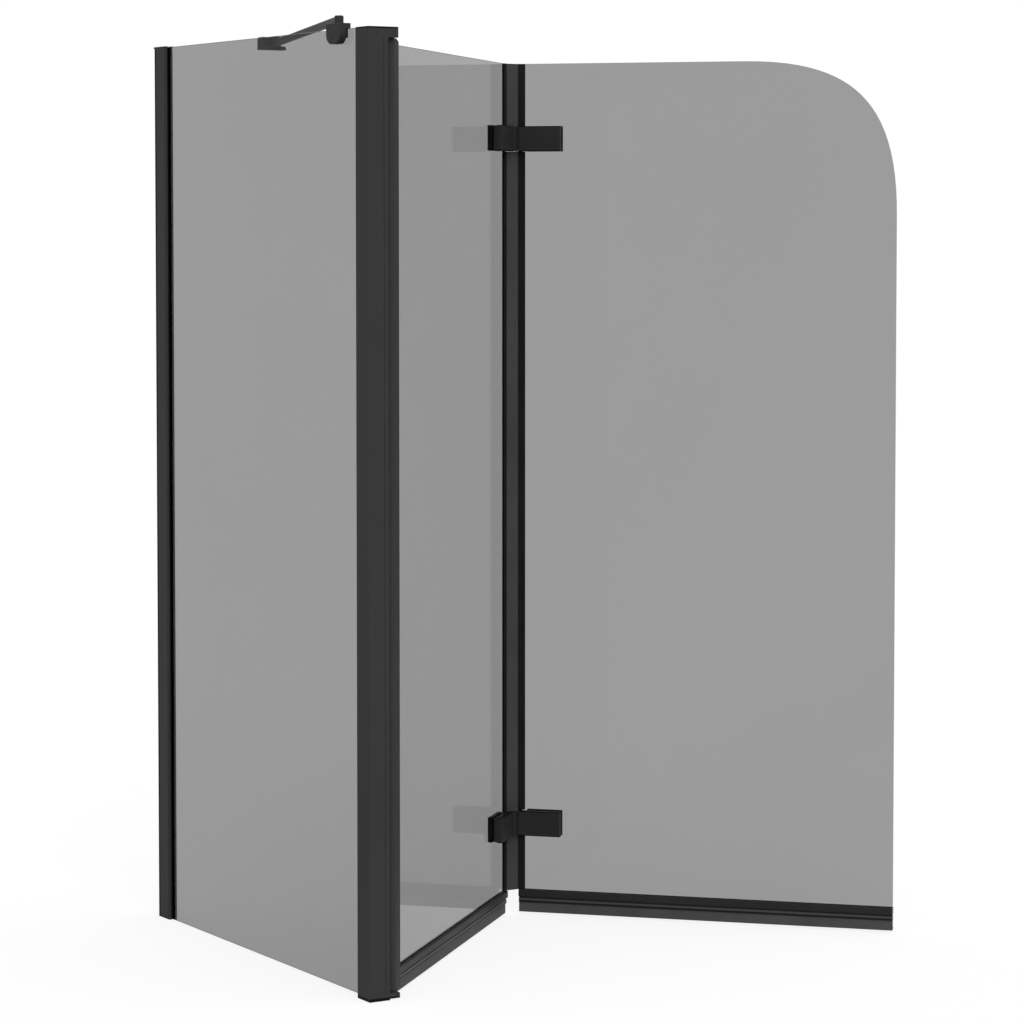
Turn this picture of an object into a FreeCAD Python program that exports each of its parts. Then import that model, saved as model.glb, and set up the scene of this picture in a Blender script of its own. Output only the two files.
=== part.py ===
import FreeCAD, Part
import math
import os
import Sketcher

# Driving dimensions in millimetres, angles in degrees
SIZES = {
    # The whole screen
    "screen_length": 1200.0,
    "side_depth": 680.0,
    "screen_height": 1300.0,
    "door_2_length": 574.0,
    "door_angle": 44.0,
    "fold_angle": 89.6,
    "glass_thickness": 5.0,
    "glass_polish": 0.4,
    # Fits and clearances
    "seat_gap": 0.3,
    "pin_clearance": 0.05,
    "press_clearance": 0.02,
    "slide_clearance": 0.2,
    "glue_line": 0.1,
    "cut_overrun": 1.0,
    # Glazing gaskets
    "gasket_wall": 1.5,
    "gasket_proud": 0.6,
    # Wall profile: a channel on the wall and a glass profile that slides over it
    "wall_profile_width": 16.0,
    "wall_profile_depth": 38.0,
    "wall_profile_wall": 1.5,
    "wall_profile_web": 1.8,
    "wall_profile_round": 3.4,
    "wall_profile_standoff": 3.0,
    "wall_cap_height": 2.5,
    "wall_cap_rise": 0.9,
    "channel_wall": 1.3,
    "channel_depth": 20.0,
    "wall_hole_radius": 2.6,
    "wall_hole_end_distance": 85.0,
    "lock_screw_radius": 1.45,
    "lock_screw_length": 5.0,
    "lock_head_radius": 3.2,
    "lock_head_height": 1.8,
    "lock_screw_place": 10.0,
    "lock_screw_end_distance": 130.0,
    # Corner post
    "post_size": 31.0,
    "post_depth": 34.0,
    "post_wall": 1.8,
    "post_slot_depth": 12.0,
    "post_slot_wall": 1.5,
    "post_groove_place": 24.0,
    "post_groove_width": 1.0,
    "post_groove_depth": 0.6,
    "boss_radius": 3.2,
    "boss_embed": 0.4,
    "boss_hole_radius": 1.4,
    "seal_groove_width": 3.0,
    "seal_groove_depth": 1.0,
    "seal_head_width": 5.0,
    "seal_head_height": 0.7,
    # Post caps
    "top_cap_height": 14.2,
    "top_cap_drop": 1.2,
    "bottom_cap_height": 9.0,
    "cap_length": 46.2,
    "cap_edge": 0.5,
    "tongue_rise": 2.0,
    "cap_plug_depth": 10.0,
    "glass_notch_clearance": 0.3,
    "cap_screw_radius": 1.35,
    "cap_screw_length": 26.0,
    "cap_screw_head_radius": 3.0,
    "cap_screw_head_height": 1.8,
    # Pivot between the post and door 1
    "pivot_offset": 40.0,
    "pivot_pin_radius": 3.0,
    "pin_grip": 5.5,
    "pin_reach": 20.0,
    "bush_radius": 5.0,
    "bush_length": 16.0,
    "bush_flange_radius": 7.0,
    "bush_flange_height": 1.2,
    "cam_gap": 5.6,
    "cam_flat_end": 9.0,
    "cam_low_edge": 1.0,
    # Door 1 pivot profile
    "door_profile_thickness": 16.0,
    "door_profile_reach": 20.0,
    "door_slot_start": 9.5,
    "door_profile_round": 1.0,
    # Door glass
    "door_top_drop": 23.0,
    "glass_grip": 15.0,
    "corner_reach": 225.0,
    # Bottom rails and wipers
    "wiper_lift": 3.2,
    "wiper_height": 15.0,
    "wiper_inner_reach": 1.5,
    "wiper_foot_reach": 1.0,
    "wiper_fin_reach": 6.5,
    "wiper_fin_tip_low": 1.5,
    "wiper_fin_tip_high": 2.5,
    "wiper_fin_root_low": 3.5,
    "wiper_fin_root_high": 6.0,
    "wiper_root_width": 3.0,
    "wiper_root_height": 2.5,
    "rail_bead_height": 6.0,
    "rail_bead_proud": 1.8,
    "rail_groove_height": 3.0,
    "rail_groove_proud": 0.5,
    "rail_clip_height": 10.0,
    "rail_clip_proud": 4.0,
    "rail_bevel": 1.2,
    "rail_end_gap": 7.8,
    # Fold between the doors
    "fold_axis_offset": 9.0,
    "strip_gap": 6.5,
    "strip_web": 1.5,
    "strip_leg": 1.8,
    "strip_width": 10.8,
    "strip_inner_width": 5.0,
    "seal_thickness": 1.7,
    # Fold hinges
    "hinge_height": 37.4,
    "lower_hinge_level": 139.5,
    "upper_hinge_drop": 111.5,
    "knuckle_radius": 6.3,
    "hinge_pin_radius": 2.5,
    "leaf_end": 72.5,
    "leaf_land": 2.6,
    "leaf_land_drop": 2.2,
    "leaf_tail_start": 1.0,
    "leaf_thickness": 4.1,
    "leaf_inset": 1.0,
    "hinge_pad": 0.6,
    "cover_height": 9.0,
    "cover_end": 74.0,
    "cover_bevel": 1.0,
    "inner_plate_start": 19.0,
    "inner_plate_thickness": 7.0,
    "hinge_screw_near": 32.0,
    "hinge_screw_far": 60.0,
    "hinge_screw_radius": 2.5,
    "hinge_screw_head_radius": 4.5,
    "hinge_screw_head_height": 2.2,
    "glass_hole_radius": 7.0,
    # Support arm along the top
    "clamp_setback": 102.0,
    "clamp_width": 40.0,
    "clamp_thickness": 10.4,
    "clamp_drop": 20.5,
    "clamp_rise": 7.0,
    "clamp_round": 13.5,
    "clamp_pad": 0.6,
    "clamp_edge": 0.8,
    "clamp_jaw_thickness": 3.0,
    "clamp_jaw_width": 20.0,
    "clamp_jaw_height": 12.0,
    "clamp_screw_radius": 2.5,
    "clamp_screw_rise": 7.0,
    "clamp_screw_recess": 0.4,
    "arm_width": 11.0,
    "arm_height": 9.0,
    "arm_edge": 1.2,
    "arm_eye_radius": 6.2,
    "arm_eye_height": 10.4,
    "arm_eye_edge": 1.2,
    "arm_wall_place": 191.4,
    "arm_wall_distance": 9.0,
    "swivel_radius": 2.5,
    "swivel_head_radius": 4.2,
    "swivel_head_height": 2.0,
    "swivel_bite": 5.0,
    "swivel_setoff": 2.5,
    "bracket_left": 25.6,
    "bracket_right": 15.0,
    "bracket_depth": 16.0,
    "bracket_rise": 1.4,
    "bracket_height": 20.7,
    "bracket_lip": 2.7,
    "bracket_back": 3.0,
    "bracket_side": 6.0,
    "bracket_flare": 3.5,
    "bracket_flare_low": 2.0,
    "bracket_flare_high": 9.0,
    "bracket_hole_place": 11.2,
    "bracket_hole_radius": 2.3,
    "cap_head_radius": 7.0,
    "cap_head_height": 2.0,
    "cap_head_bevel": 1.4,
}

# Where the handles of the top corner's curve lie, as a share of the way to the corner
CORNER_HANDLE_SHARE = 0.72

# Wall screws and lock screws along the wall profile, and knuckles of a fold hinge
WALL_SCREW_COUNT = 4
LOCK_SCREW_COUNT = 3
KNUCKLE_COUNT = 3

document = FreeCAD.newDocument("bath_screen")
sheet = document.addObject("Spreadsheet::Sheet", "sizes")
for row, (alias, number) in enumerate(SIZES.items(), start=1):
    sheet.set(f"A{row}", alias)
    sheet.set(f"B{row}", str(number))
    sheet.setAlias(f"B{row}", alias)
document.recompute()


class Size:
    """A length or an angle: its value, and the formula on the sheet that it follows."""

    def __init__(self, formula, value):
        self.formula = formula
        self.value = value

    def __add__(self, other):
        other = as_size(other)
        return Size(f"({self.formula} + {other.formula})", self.value + other.value)

    def __sub__(self, other):
        other = as_size(other)
        return Size(f"({self.formula} - {other.formula})", self.value - other.value)

    def __mul__(self, other):
        other = as_size(other)
        return Size(f"({self.formula} * {other.formula})", self.value * other.value)

    def __truediv__(self, other):
        other = as_size(other)
        return Size(f"({self.formula} / {other.formula})", self.value / other.value)

    def __neg__(self):
        return Size(f"(-1 * {self.formula})", -self.value)


class Sheet:
    """Reads a named cell of the sheet as a Size."""

    def __getattr__(self, name):
        return Size(f"sizes.{name}", float(sheet.get(name)))


def as_size(quantity):
    """Makes a Size of a plain share or zero."""
    if isinstance(quantity, Size):
        return quantity
    return Size(repr(float(quantity)), float(quantity))


def cosine(angle):
    return Size(f"cos({angle.formula} * 1deg)", math.cos(math.radians(angle.value)))


def sine(angle):
    return Size(f"sin({angle.formula} * 1deg)", math.sin(math.radians(angle.value)))


def turned(along, across, angle):
    """The point (along, across) turned by an angle about the origin."""
    return (
        along * cosine(angle) - across * sine(angle),
        along * sine(angle) + across * cosine(angle),
    )


class Arc:
    """A corner of an outline that is reached by an arc about a centre."""

    def __init__(self, x, y, centre_x, centre_y, radius, clockwise=False):
        self.x, self.y = x, y
        self.centre_x, self.centre_y = centre_x, centre_y
        self.radius = radius
        self.clockwise = clockwise


class Frame:
    """A place that pieces are built in: a point of the plan and a turn about the vertical."""

    def __init__(self, x, y, angle):
        self.x, self.y, self.angle = x, y, angle

    def beyond(self, along, across, turn):
        """A frame that lies along and across this one, turned further by an angle."""
        shift_x, shift_y = turned(along, across, self.angle)
        return Frame(self.x + shift_x, self.y + shift_y, self.angle + turn)


S = Sheet()
ZERO = as_size(0)

# Places that several pieces share
glass_half = S.glass_thickness / 2
post_half = S.post_size / 2
post_front = -S.side_depth
post_back = post_front + S.post_depth
post_middle = post_front + post_half
post_slot_floor = post_back - S.post_slot_depth
slot_half = glass_half + S.gasket_wall
side_glass_end = post_slot_floor + S.gasket_wall
wall_web_back = -(S.channel_depth + S.slide_clearance)
wall_web_front = wall_web_back - S.wall_profile_web
side_glass_start = wall_web_front - S.gasket_wall
wall_profile_top = S.screen_height + S.wall_cap_rise - S.wall_cap_height
wall_hole_pitch = (wall_profile_top - S.wall_hole_end_distance * 2) / (WALL_SCREW_COUNT - 1)
lock_screw_pitch = (wall_profile_top - S.lock_screw_end_distance * 2) / (LOCK_SCREW_COUNT - 1)
channel_half = S.wall_profile_width / 2 - S.wall_profile_wall - S.slide_clearance
cap_top = S.screen_height - S.top_cap_drop
post_top = cap_top - S.top_cap_height
pivot_x = S.pivot_offset - post_half
profile_half = S.door_profile_thickness / 2
door_1_length = S.screen_length - S.pivot_offset - S.door_2_length
profile_bottom = S.bottom_cap_height + S.seat_gap + S.bush_flange_height
profile_top = post_top - S.cam_gap
door_top = S.screen_height - S.door_top_drop
rail_bottom = S.wiper_lift + S.wiper_height
rail_bead_top = rail_bottom + S.rail_bead_height
rail_groove_top = rail_bead_top + S.rail_groove_height
rail_top = rail_groove_top + S.rail_clip_height
rail_slot_floor = rail_top - S.glass_grip
door_glass_bottom = rail_slot_floor + S.glue_line
rail_start = S.door_profile_reach + S.gasket_proud + S.seat_gap
glass_gap = S.strip_gap + S.strip_web
fold_middle = S.fold_axis_offset + glass_half
leaf_back = S.fold_axis_offset - S.hinge_pad
leaf_face = leaf_back - S.leaf_thickness
cover_face = leaf_face - S.cover_height
knuckle_clear = S.knuckle_radius + S.seat_gap
inner_face = S.fold_axis_offset + S.glass_thickness
inner_plate_back = inner_face + S.hinge_pad
inner_plate_face = inner_plate_back + S.inner_plate_thickness
clamp_y = post_front + S.clamp_setback
clamp_top = S.screen_height + S.clamp_rise
clamp_bottom = S.screen_height - S.clamp_drop
clamp_slot_half = glass_half + S.clamp_pad
clamp_outer = -(clamp_slot_half + S.clamp_thickness)
arm_bottom = clamp_top + S.seat_gap
arm_top = arm_bottom + S.arm_height
eye_top = arm_bottom + S.arm_eye_height
swivel_x = (clamp_outer + clamp_slot_half) / 2
swivel_y = clamp_y - S.swivel_setoff
hinge_levels = {"lower": S.lower_hinge_level, "upper": door_top - S.upper_hinge_drop}
screw_places = (S.hinge_screw_near, S.hinge_screw_far)

# The frames that the pieces are built in
ROOM = Frame(ZERO, ZERO, ZERO)
DOOR_1 = Frame(pivot_x, post_middle, S.door_angle)
FOLD_1 = DOOR_1.beyond(door_1_length, -fold_middle, ZERO)
FOLD_2 = FOLD_1.beyond(ZERO, ZERO, -S.fold_angle)

pieces = []


def new_piece(label, frame=ROOM):
    """A body of its own, standing in a frame."""
    piece = document.addObject("PartDesign::Body", label)
    piece.Label = label
    piece.AllowCompound = True
    stand(piece, frame)
    return piece


def stand(piece, frame):
    """Puts a piece in its frame and lists it among the parts."""
    piece.setExpression("Placement.Base.x", frame.x.formula)
    piece.setExpression("Placement.Base.y", frame.y.formula)
    piece.setExpression("Placement.Rotation.Angle", frame.angle.formula)
    pieces.append(piece)


def sketch(piece, plane_role, lift):
    """An empty sketch on one of the piece's own planes, lifted along the plane's normal."""
    drawn = piece.newObject("Sketcher::SketchObject", f"{piece.Label}_sketch")
    plane = next(feature for feature in piece.Origin.OriginFeatures if feature.Role == plane_role)
    drawn.AttachmentSupport = [(plane, "")]
    drawn.MapMode = "FlatFace"
    drawn.setExpression("AttachmentOffset.Base.z", lift.formula)
    return drawn


def bind_point(drawn, shape_index, point_index, x, y):
    """Holds a point of a sketch at x and y."""
    for kind, length in (("DistanceX", x), ("DistanceY", y)):
        rule = Sketcher.Constraint(kind, -1, 1, shape_index, point_index, length.value)
        number = drawn.addConstraint(rule)
        drawn.setExpression(f"Constraints[{number}]", length.formula)


def bind_radius(drawn, shape_index, radius):
    number = drawn.addConstraint(Sketcher.Constraint("Radius", shape_index, radius.value))
    drawn.setExpression(f"Constraints[{number}]", radius.formula)


def flat_point(x, y):
    return FreeCAD.Vector(x.value, y.value, 0)


def outline(drawn, corners):
    """Draws a closed outline: a corner is a point (x, y), or an Arc that ends there."""
    first = drawn.GeometryCount
    count = len(corners)
    joints = []
    for index, corner in enumerate(corners):
        before = corners[index - 1]
        start = (before.x, before.y) if isinstance(before, Arc) else before
        if isinstance(corner, Arc):
            end = (corner.x, corner.y)
            circle = Part.Circle(
                flat_point(corner.centre_x, corner.centre_y), FreeCAD.Vector(0, 0, 1), corner.radius.value
            )
            angles = [circle.parameter(flat_point(*point)) for point in (start, end)]
            if corner.clockwise:
                angles.reverse()
            drawn.addGeometry(Part.ArcOfCircle(circle, *angles), False)
            bind_radius(drawn, first + index, corner.radius)
            joints.append((2, 1) if corner.clockwise else (1, 2))
        else:
            end = corner
            drawn.addGeometry(Part.LineSegment(flat_point(*start), flat_point(*end)), False)
            joints.append((1, 2))
        bind_point(drawn, first + index, joints[index][1], *end)
    for index in range(count):
        following = (index + 1) % count
        rule = Sketcher.Constraint(
            "Coincident", first + index, joints[index][1], first + following, joints[following][0]
        )
        drawn.addConstraint(rule)


def rectangle(drawn, x_low, y_low, x_high, y_high):
    outline(drawn, [(x_low, y_low), (x_high, y_low), (x_high, y_high), (x_low, y_high)])


def circle(drawn, x, y, radius):
    index = drawn.GeometryCount
    drawn.addGeometry(Part.Circle(flat_point(x, y), FreeCAD.Vector(0, 0, 1), radius.value), False)
    bind_point(drawn, index, 3, x, y)
    bind_radius(drawn, index, radius)


def pad(piece, drawn, length, backwards=False):
    """Adds material along the sketch's normal, or against it."""
    feature = piece.newObject("PartDesign::Pad", f"{piece.Label}_pad")
    feature.Profile = drawn
    feature.setExpression("Length", length.formula)
    feature.Reversed = backwards
    piece.Tip = feature


def pocket(piece, drawn, length, forwards=False):
    """Cuts against the sketch's normal, or along it, and makes sure that something was cut."""
    document.recompute()
    before = piece.Tip.Shape.Volume
    feature = piece.newObject("PartDesign::Pocket", f"{piece.Label}_pocket")
    feature.Profile = drawn
    feature.setExpression("Length", length.formula)
    feature.Reversed = forwards
    piece.Tip = feature
    document.recompute()
    if not feature.Shape.Volume < before:
        raise RuntimeError(f"the cut in {piece.Label} removed nothing")


def bevel(piece, width, chosen):
    """Bevels the edges of the piece that the test chooses."""
    document.recompute()
    base = piece.Tip
    names = [f"Edge{number}" for number, edge in enumerate(base.Shape.Edges, start=1) if chosen(edge)]
    feature = piece.newObject("PartDesign::Chamfer", f"{piece.Label}_bevel")
    feature.Base = (base, names)
    feature.setExpression("Size", width.formula)
    piece.Tip = feature


def lies_at(axis, place):
    """A test for edges that lie wholly at one place along X, Y or Z."""

    def test(edge):
        box = edge.BoundBox
        ends = {
            "x": (box.XMin, box.XMax),
            "y": (box.YMin, box.YMax),
            "z": (box.ZMin, box.ZMax),
        }
        return all(math.isclose(end, place.value, abs_tol=1e-4) for end in ends[axis])

    return test


def prism(label, frame, corners, bottom, top):
    """An upright piece of constant section between two levels."""
    piece = new_piece(label, frame)
    drawn = sketch(piece, "XY_Plane", bottom)
    outline(drawn, corners)
    pad(piece, drawn, top - bottom)
    return piece


def add_prism(piece, corners, bottom, top):
    drawn = sketch(piece, "XY_Plane", bottom)
    outline(drawn, corners)
    pad(piece, drawn, top - bottom)


def box_corners(x_low, y_low, x_high, y_high):
    return [(x_low, y_low), (x_high, y_low), (x_high, y_high), (x_low, y_high)]


def add_rods(piece, centres, radius, bottom, top):
    """Adds upright round rods between two levels."""
    drawn = sketch(piece, "XY_Plane", bottom)
    for x, y in centres:
        circle(drawn, x, y, radius)
    pad(piece, drawn, top - bottom)


def drill_up(piece, centres, radius, bottom, top):
    """Drills upright round holes between two levels."""
    drawn = sketch(piece, "XY_Plane", bottom)
    for x, y in centres:
        circle(drawn, x, y, radius)
    pocket(piece, drawn, top - bottom, forwards=True)


# Wall side: channel, glass profile, gasket, caps and lock screws


def make_wall_channel():
    """U channel that is screwed to the wall."""
    inner = channel_half - S.channel_wall
    front = -S.channel_depth
    floor = -S.channel_wall
    piece = prism(
        "wall_channel",
        ROOM,
        [
            (-channel_half, ZERO),
            (-channel_half, front),
            (-inner, front),
            (-inner, floor),
            (inner, floor),
            (inner, front),
            (channel_half, front),
            (channel_half, ZERO),
        ],
        ZERO,
        wall_profile_top,
    )
    drawn = sketch(piece, "XZ_Plane", -S.cut_overrun)
    for step in range(WALL_SCREW_COUNT):
        circle(drawn, ZERO, S.wall_hole_end_distance + wall_hole_pitch * step, S.wall_hole_radius)
    pocket(piece, drawn, S.channel_wall + S.cut_overrun * 2, forwards=True)
    lock_holes(piece, channel_half, S.channel_wall)


def lock_holes(piece, face, wall):
    """Holes for the lock screws, from the inner side of the screen."""
    drawn = sketch(piece, "YZ_Plane", face + S.cut_overrun)
    for step in range(LOCK_SCREW_COUNT):
        level = S.lock_screw_end_distance + lock_screw_pitch * step
        circle(drawn, -S.lock_screw_place, level, S.lock_screw_radius + S.pin_clearance)
    pocket(piece, drawn, wall + S.cut_overrun * 2)


def make_wall_glass_profile():
    """Profile that slides over the channel and holds the side glass."""
    half = S.wall_profile_width / 2
    inner = half - S.wall_profile_wall
    front = -S.wall_profile_depth
    back = -S.wall_profile_standoff
    turn = S.wall_profile_round
    piece = prism(
        "wall_glass_profile",
        ROOM,
        [
            (-half, back),
            (-half, front + turn),
            Arc(-(half - turn), front, -(half - turn), front + turn, turn),
            (-slot_half, front),
            (-slot_half, wall_web_front),
            (slot_half, wall_web_front),
            (slot_half, front),
            (half - turn, front),
            Arc(half, front + turn, half - turn, front + turn, turn),
            (half, back),
            (inner, back),
            (inner, wall_web_back),
            (-inner, wall_web_back),
            (-inner, back),
        ],
        ZERO,
        wall_profile_top,
    )
    lock_holes(piece, half, S.wall_profile_wall)


def make_wall_gasket():
    """U gasket around the wall edge of the side glass."""
    front = -(S.wall_profile_depth + S.gasket_proud)
    prism(
        "wall_gasket",
        ROOM,
        [
            (-slot_half, wall_web_front),
            (-slot_half, front),
            (-glass_half, front),
            (-glass_half, side_glass_start),
            (glass_half, side_glass_start),
            (glass_half, front),
            (slot_half, front),
            (slot_half, wall_web_front),
        ],
        ZERO,
        wall_profile_top,
    )


def make_wall_cap():
    """Cap on top of the wall profile, slotted for the glass."""
    half = S.wall_profile_width / 2
    front = -S.wall_profile_depth
    turn = S.wall_profile_round
    notch = glass_half + S.glass_notch_clearance
    notch_floor = side_glass_start + S.glass_notch_clearance
    piece = prism(
        "wall_profile_cap",
        ROOM,
        [
            (-half, ZERO),
            (-half, front + turn),
            Arc(-(half - turn), front, -(half - turn), front + turn, turn),
            (-notch, front),
            (-notch, notch_floor),
            (notch, notch_floor),
            (notch, front),
            (half - turn, front),
            Arc(half, front + turn, half - turn, front + turn, turn),
            (half, ZERO),
        ],
        wall_profile_top,
        wall_profile_top + S.wall_cap_height,
    )
    bevel(piece, S.cap_edge, lies_at("z", wall_profile_top + S.wall_cap_height))


def make_lock_screws():
    """Screws that fix the glass profile on the wall channel."""
    half = S.wall_profile_width / 2
    piece = new_piece("wall_profile_lock_screws")
    for start, length, radius in (
        (half - S.lock_screw_length, S.lock_screw_length, S.lock_screw_radius),
        (half, S.lock_head_height, S.lock_head_radius),
    ):
        drawn = sketch(piece, "YZ_Plane", start)
        for step in range(LOCK_SCREW_COUNT):
            level = S.lock_screw_end_distance + lock_screw_pitch * step
            circle(drawn, -S.lock_screw_place, level, radius)
        pad(piece, drawn, length)
    bevel(piece, S.cap_edge, lies_at("x", half + S.lock_head_height))


def make_side_glass():
    """Fixed side pane between the wall profile and the corner post."""
    piece = new_piece("side_glass")
    drawn = sketch(piece, "YZ_Plane", -glass_half)
    lift = S.cap_edge
    rectangle(drawn, side_glass_end, lift, side_glass_start, S.screen_height - lift)
    pad(piece, drawn, S.glass_thickness)
    bevel(piece, S.glass_polish, lambda edge: not crosses_glass(edge, "x"))


def crosses_glass(edge, axis):
    """True for the short edges that run through the thickness of a pane."""
    box = edge.BoundBox
    return {"x": box.XLength, "y": box.YLength}[axis] > S.glass_polish.value


# Corner post with its gasket, seal, caps, screws and pivot pins


def make_corner_post():
    """Square hollow post with a glass slot, a seal groove and two screw ports."""
    groove = -post_half + S.post_groove_place
    groove_half = S.post_groove_width / 2
    groove_floor = post_front + S.post_groove_depth
    seal_half = S.seal_groove_width / 2
    seal_floor = post_half - S.seal_groove_depth
    inner = post_half - S.post_wall
    web = slot_half + S.post_slot_wall
    web_front = post_slot_floor - S.post_slot_wall
    piece = new_piece("corner_post")
    drawn = sketch(piece, "XY_Plane", S.bottom_cap_height)
    outline(
        drawn,
        [
            (-post_half, post_front),
            (groove - groove_half, post_front),
            (groove - groove_half, groove_floor),
            (groove + groove_half, groove_floor),
            (groove + groove_half, post_front),
            (post_half, post_front),
            (post_half, post_middle - seal_half),
            (seal_floor, post_middle - seal_half),
            (seal_floor, post_middle + seal_half),
            (post_half, post_middle + seal_half),
            (post_half, post_back),
            (slot_half, post_back),
            (slot_half, post_slot_floor),
            (-slot_half, post_slot_floor),
            (-slot_half, post_back),
            (-post_half, post_back),
        ],
    )
    outline(
        drawn,
        [
            (-inner, post_front + S.post_wall),
            (inner, post_front + S.post_wall),
            (inner, post_back - S.post_wall),
            (web, post_back - S.post_wall),
            (web, web_front),
            (-web, web_front),
            (-web, post_back - S.post_wall),
            (-inner, post_back - S.post_wall),
        ],
    )
    pad(piece, drawn, post_top - S.bottom_cap_height)
    add_rods(piece, screw_ports(), S.boss_radius, S.bottom_cap_height, post_top)
    drill_up(
        piece,
        screw_ports(),
        S.boss_hole_radius,
        S.bottom_cap_height - S.cut_overrun,
        post_top + S.cut_overrun,
    )


def screw_ports():
    """The two screw ports in the back corners of the post."""
    inset = S.post_wall + S.boss_radius - S.boss_embed
    return [(-(post_half - inset), post_back - inset), (post_half - inset, post_back - inset)]


def make_post_gasket():
    """U gasket around the post edge of the side glass."""
    back = post_back + S.gasket_proud
    prism(
        "post_gasket",
        ROOM,
        [
            (-slot_half, post_slot_floor),
            (slot_half, post_slot_floor),
            (slot_half, back),
            (glass_half, back),
            (glass_half, side_glass_end),
            (-glass_half, side_glass_end),
            (-glass_half, back),
            (-slot_half, back),
        ],
        S.bottom_cap_height,
        post_top,
    )


def make_pivot_seal():
    """Strip in the post's groove that closes the gap to the round nose of door 1."""
    root_half = S.seal_groove_width / 2
    head_half = S.seal_head_width / 2
    floor = post_half - S.seal_groove_depth
    face = post_half + S.seal_head_height
    prism(
        "pivot_seal",
        ROOM,
        [
            (floor, post_middle - root_half),
            (post_half, post_middle - root_half),
            (post_half, post_middle - head_half),
            (face, post_middle - root_half),
            (face, post_middle + root_half),
            (post_half, post_middle + head_half),
            (post_half, post_middle + root_half),
            (floor, post_middle + root_half),
        ],
        S.bottom_cap_height,
        post_top,
    )


def make_post_cap(label, bottom, top, outer_level, plug_bottom, plug_top):
    """Cap of the post, with a tongue that carries the pivot pin."""
    notch = glass_half + S.glass_notch_clearance
    notch_floor = side_glass_end - S.glass_notch_clearance
    tongue_end = S.cap_length - post_half
    plug_inset = S.post_wall + S.slide_clearance
    plug_half = post_half - plug_inset
    plug_back = post_slot_floor - S.post_slot_wall - S.slide_clearance
    corners = [
        (-post_half, post_front),
        (tongue_end, post_front),
        (tongue_end, post_back),
        (notch, post_back),
        (notch, notch_floor),
        (-notch, notch_floor),
        (-notch, post_back),
        (-post_half, post_back),
    ]
    piece = prism(label, ROOM, corners, bottom, top)
    plug = box_corners(-plug_half, post_front + plug_inset, plug_half, plug_back)
    add_prism(piece, plug, plug_bottom, plug_top)
    bevel(piece, S.cap_edge, lies_at("z", outer_level))
    drill_up(
        piece,
        screw_ports(),
        S.cap_screw_radius + S.slide_clearance,
        bottom - S.cut_overrun,
        top + S.cut_overrun,
    )
    return piece


def make_post_caps():
    """The two caps, their recesses for the screw heads and their sockets for the pivot pins."""
    recess = S.cap_screw_head_height + S.slide_clearance
    recess_radius = S.cap_screw_head_radius + S.slide_clearance
    socket_radius = S.pivot_pin_radius + S.press_clearance
    socket_depth = S.pin_grip + S.slide_clearance
    pivot = [(pivot_x, post_middle)]
    top = make_post_cap(
        "post_top_cap",
        post_top,
        cap_top,
        cap_top,
        post_top - S.cap_plug_depth,
        post_top,
    )
    drill_up(top, screw_ports(), recess_radius, cap_top - recess, cap_top + S.cut_overrun)
    drill_up(top, pivot, socket_radius, post_top - S.cut_overrun, post_top + socket_depth)
    bottom = make_post_cap(
        "post_bottom_cap",
        ZERO,
        S.bottom_cap_height,
        ZERO,
        S.bottom_cap_height,
        S.bottom_cap_height + S.cap_plug_depth,
    )
    drawn = sketch(bottom, "XY_Plane", -S.cut_overrun)
    rectangle(
        drawn,
        post_half,
        post_front - S.cut_overrun,
        S.cap_length - post_half + S.cut_overrun,
        post_back + S.cut_overrun,
    )
    pocket(bottom, drawn, S.tongue_rise + S.cut_overrun, forwards=True)
    drill_up(bottom, screw_ports(), recess_radius, -S.cut_overrun, recess)
    drill_up(
        bottom,
        pivot,
        socket_radius,
        S.bottom_cap_height - socket_depth,
        S.bottom_cap_height + S.cut_overrun,
    )


def make_cap_screws():
    """Four screws that hold the caps in the post's screw ports."""
    piece = new_piece("post_cap_screws")
    recess = S.cap_screw_head_height + S.slide_clearance
    head_top = cap_top - S.slide_clearance
    head_bottom = cap_top - recess
    for radius, bottom, top in (
        (S.cap_screw_radius, head_bottom - S.cap_screw_length, head_bottom),
        (S.cap_screw_head_radius, head_bottom, head_top),
        (S.cap_screw_radius, recess, recess + S.cap_screw_length),
        (S.cap_screw_head_radius, S.slide_clearance, recess),
    ):
        add_rods(piece, screw_ports(), radius, bottom, top)


def make_pivot_pins():
    """Top and bottom pins, pressed in the caps, that door 1 turns on."""
    piece = new_piece("pivot_pins")
    pivot = [(pivot_x, post_middle)]
    for bottom, top in (
        (post_top - S.pin_reach, post_top + S.pin_grip),
        (S.bottom_cap_height - S.pin_grip, S.bottom_cap_height + S.pin_reach),
    ):
        add_rods(piece, pivot, S.pivot_pin_radius, bottom, top)


# Door 1: pivot profile, bushes, gasket, glass


def nose_corners():
    """Outline of the pivot profile: a round nose about the axis and two flat sides."""
    turn = S.door_profile_round
    reach = S.door_profile_reach
    return [
        (ZERO, profile_half),
        Arc(-profile_half, ZERO, ZERO, ZERO, profile_half),
        Arc(ZERO, -profile_half, ZERO, ZERO, profile_half),
        (reach - turn, -profile_half),
        Arc(reach, turn - profile_half, reach - turn, turn - profile_half, turn),
    ]


def make_door_1_profile():
    """Pivot profile with a bore for the bushes and a slot for the glass."""
    turn = S.door_profile_round
    reach = S.door_profile_reach
    piece = new_piece("door_1_profile", DOOR_1)
    drawn = sketch(piece, "XY_Plane", profile_bottom)
    outline(
        drawn,
        nose_corners()
        + [
            (reach, -slot_half),
            (S.door_slot_start, -slot_half),
            (S.door_slot_start, slot_half),
            (reach, slot_half),
            (reach, profile_half - turn),
            Arc(reach - turn, profile_half, reach - turn, profile_half - turn, turn),
        ],
    )
    circle(drawn, ZERO, ZERO, S.bush_radius + S.press_clearance)
    pad(piece, drawn, profile_top - profile_bottom)


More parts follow.
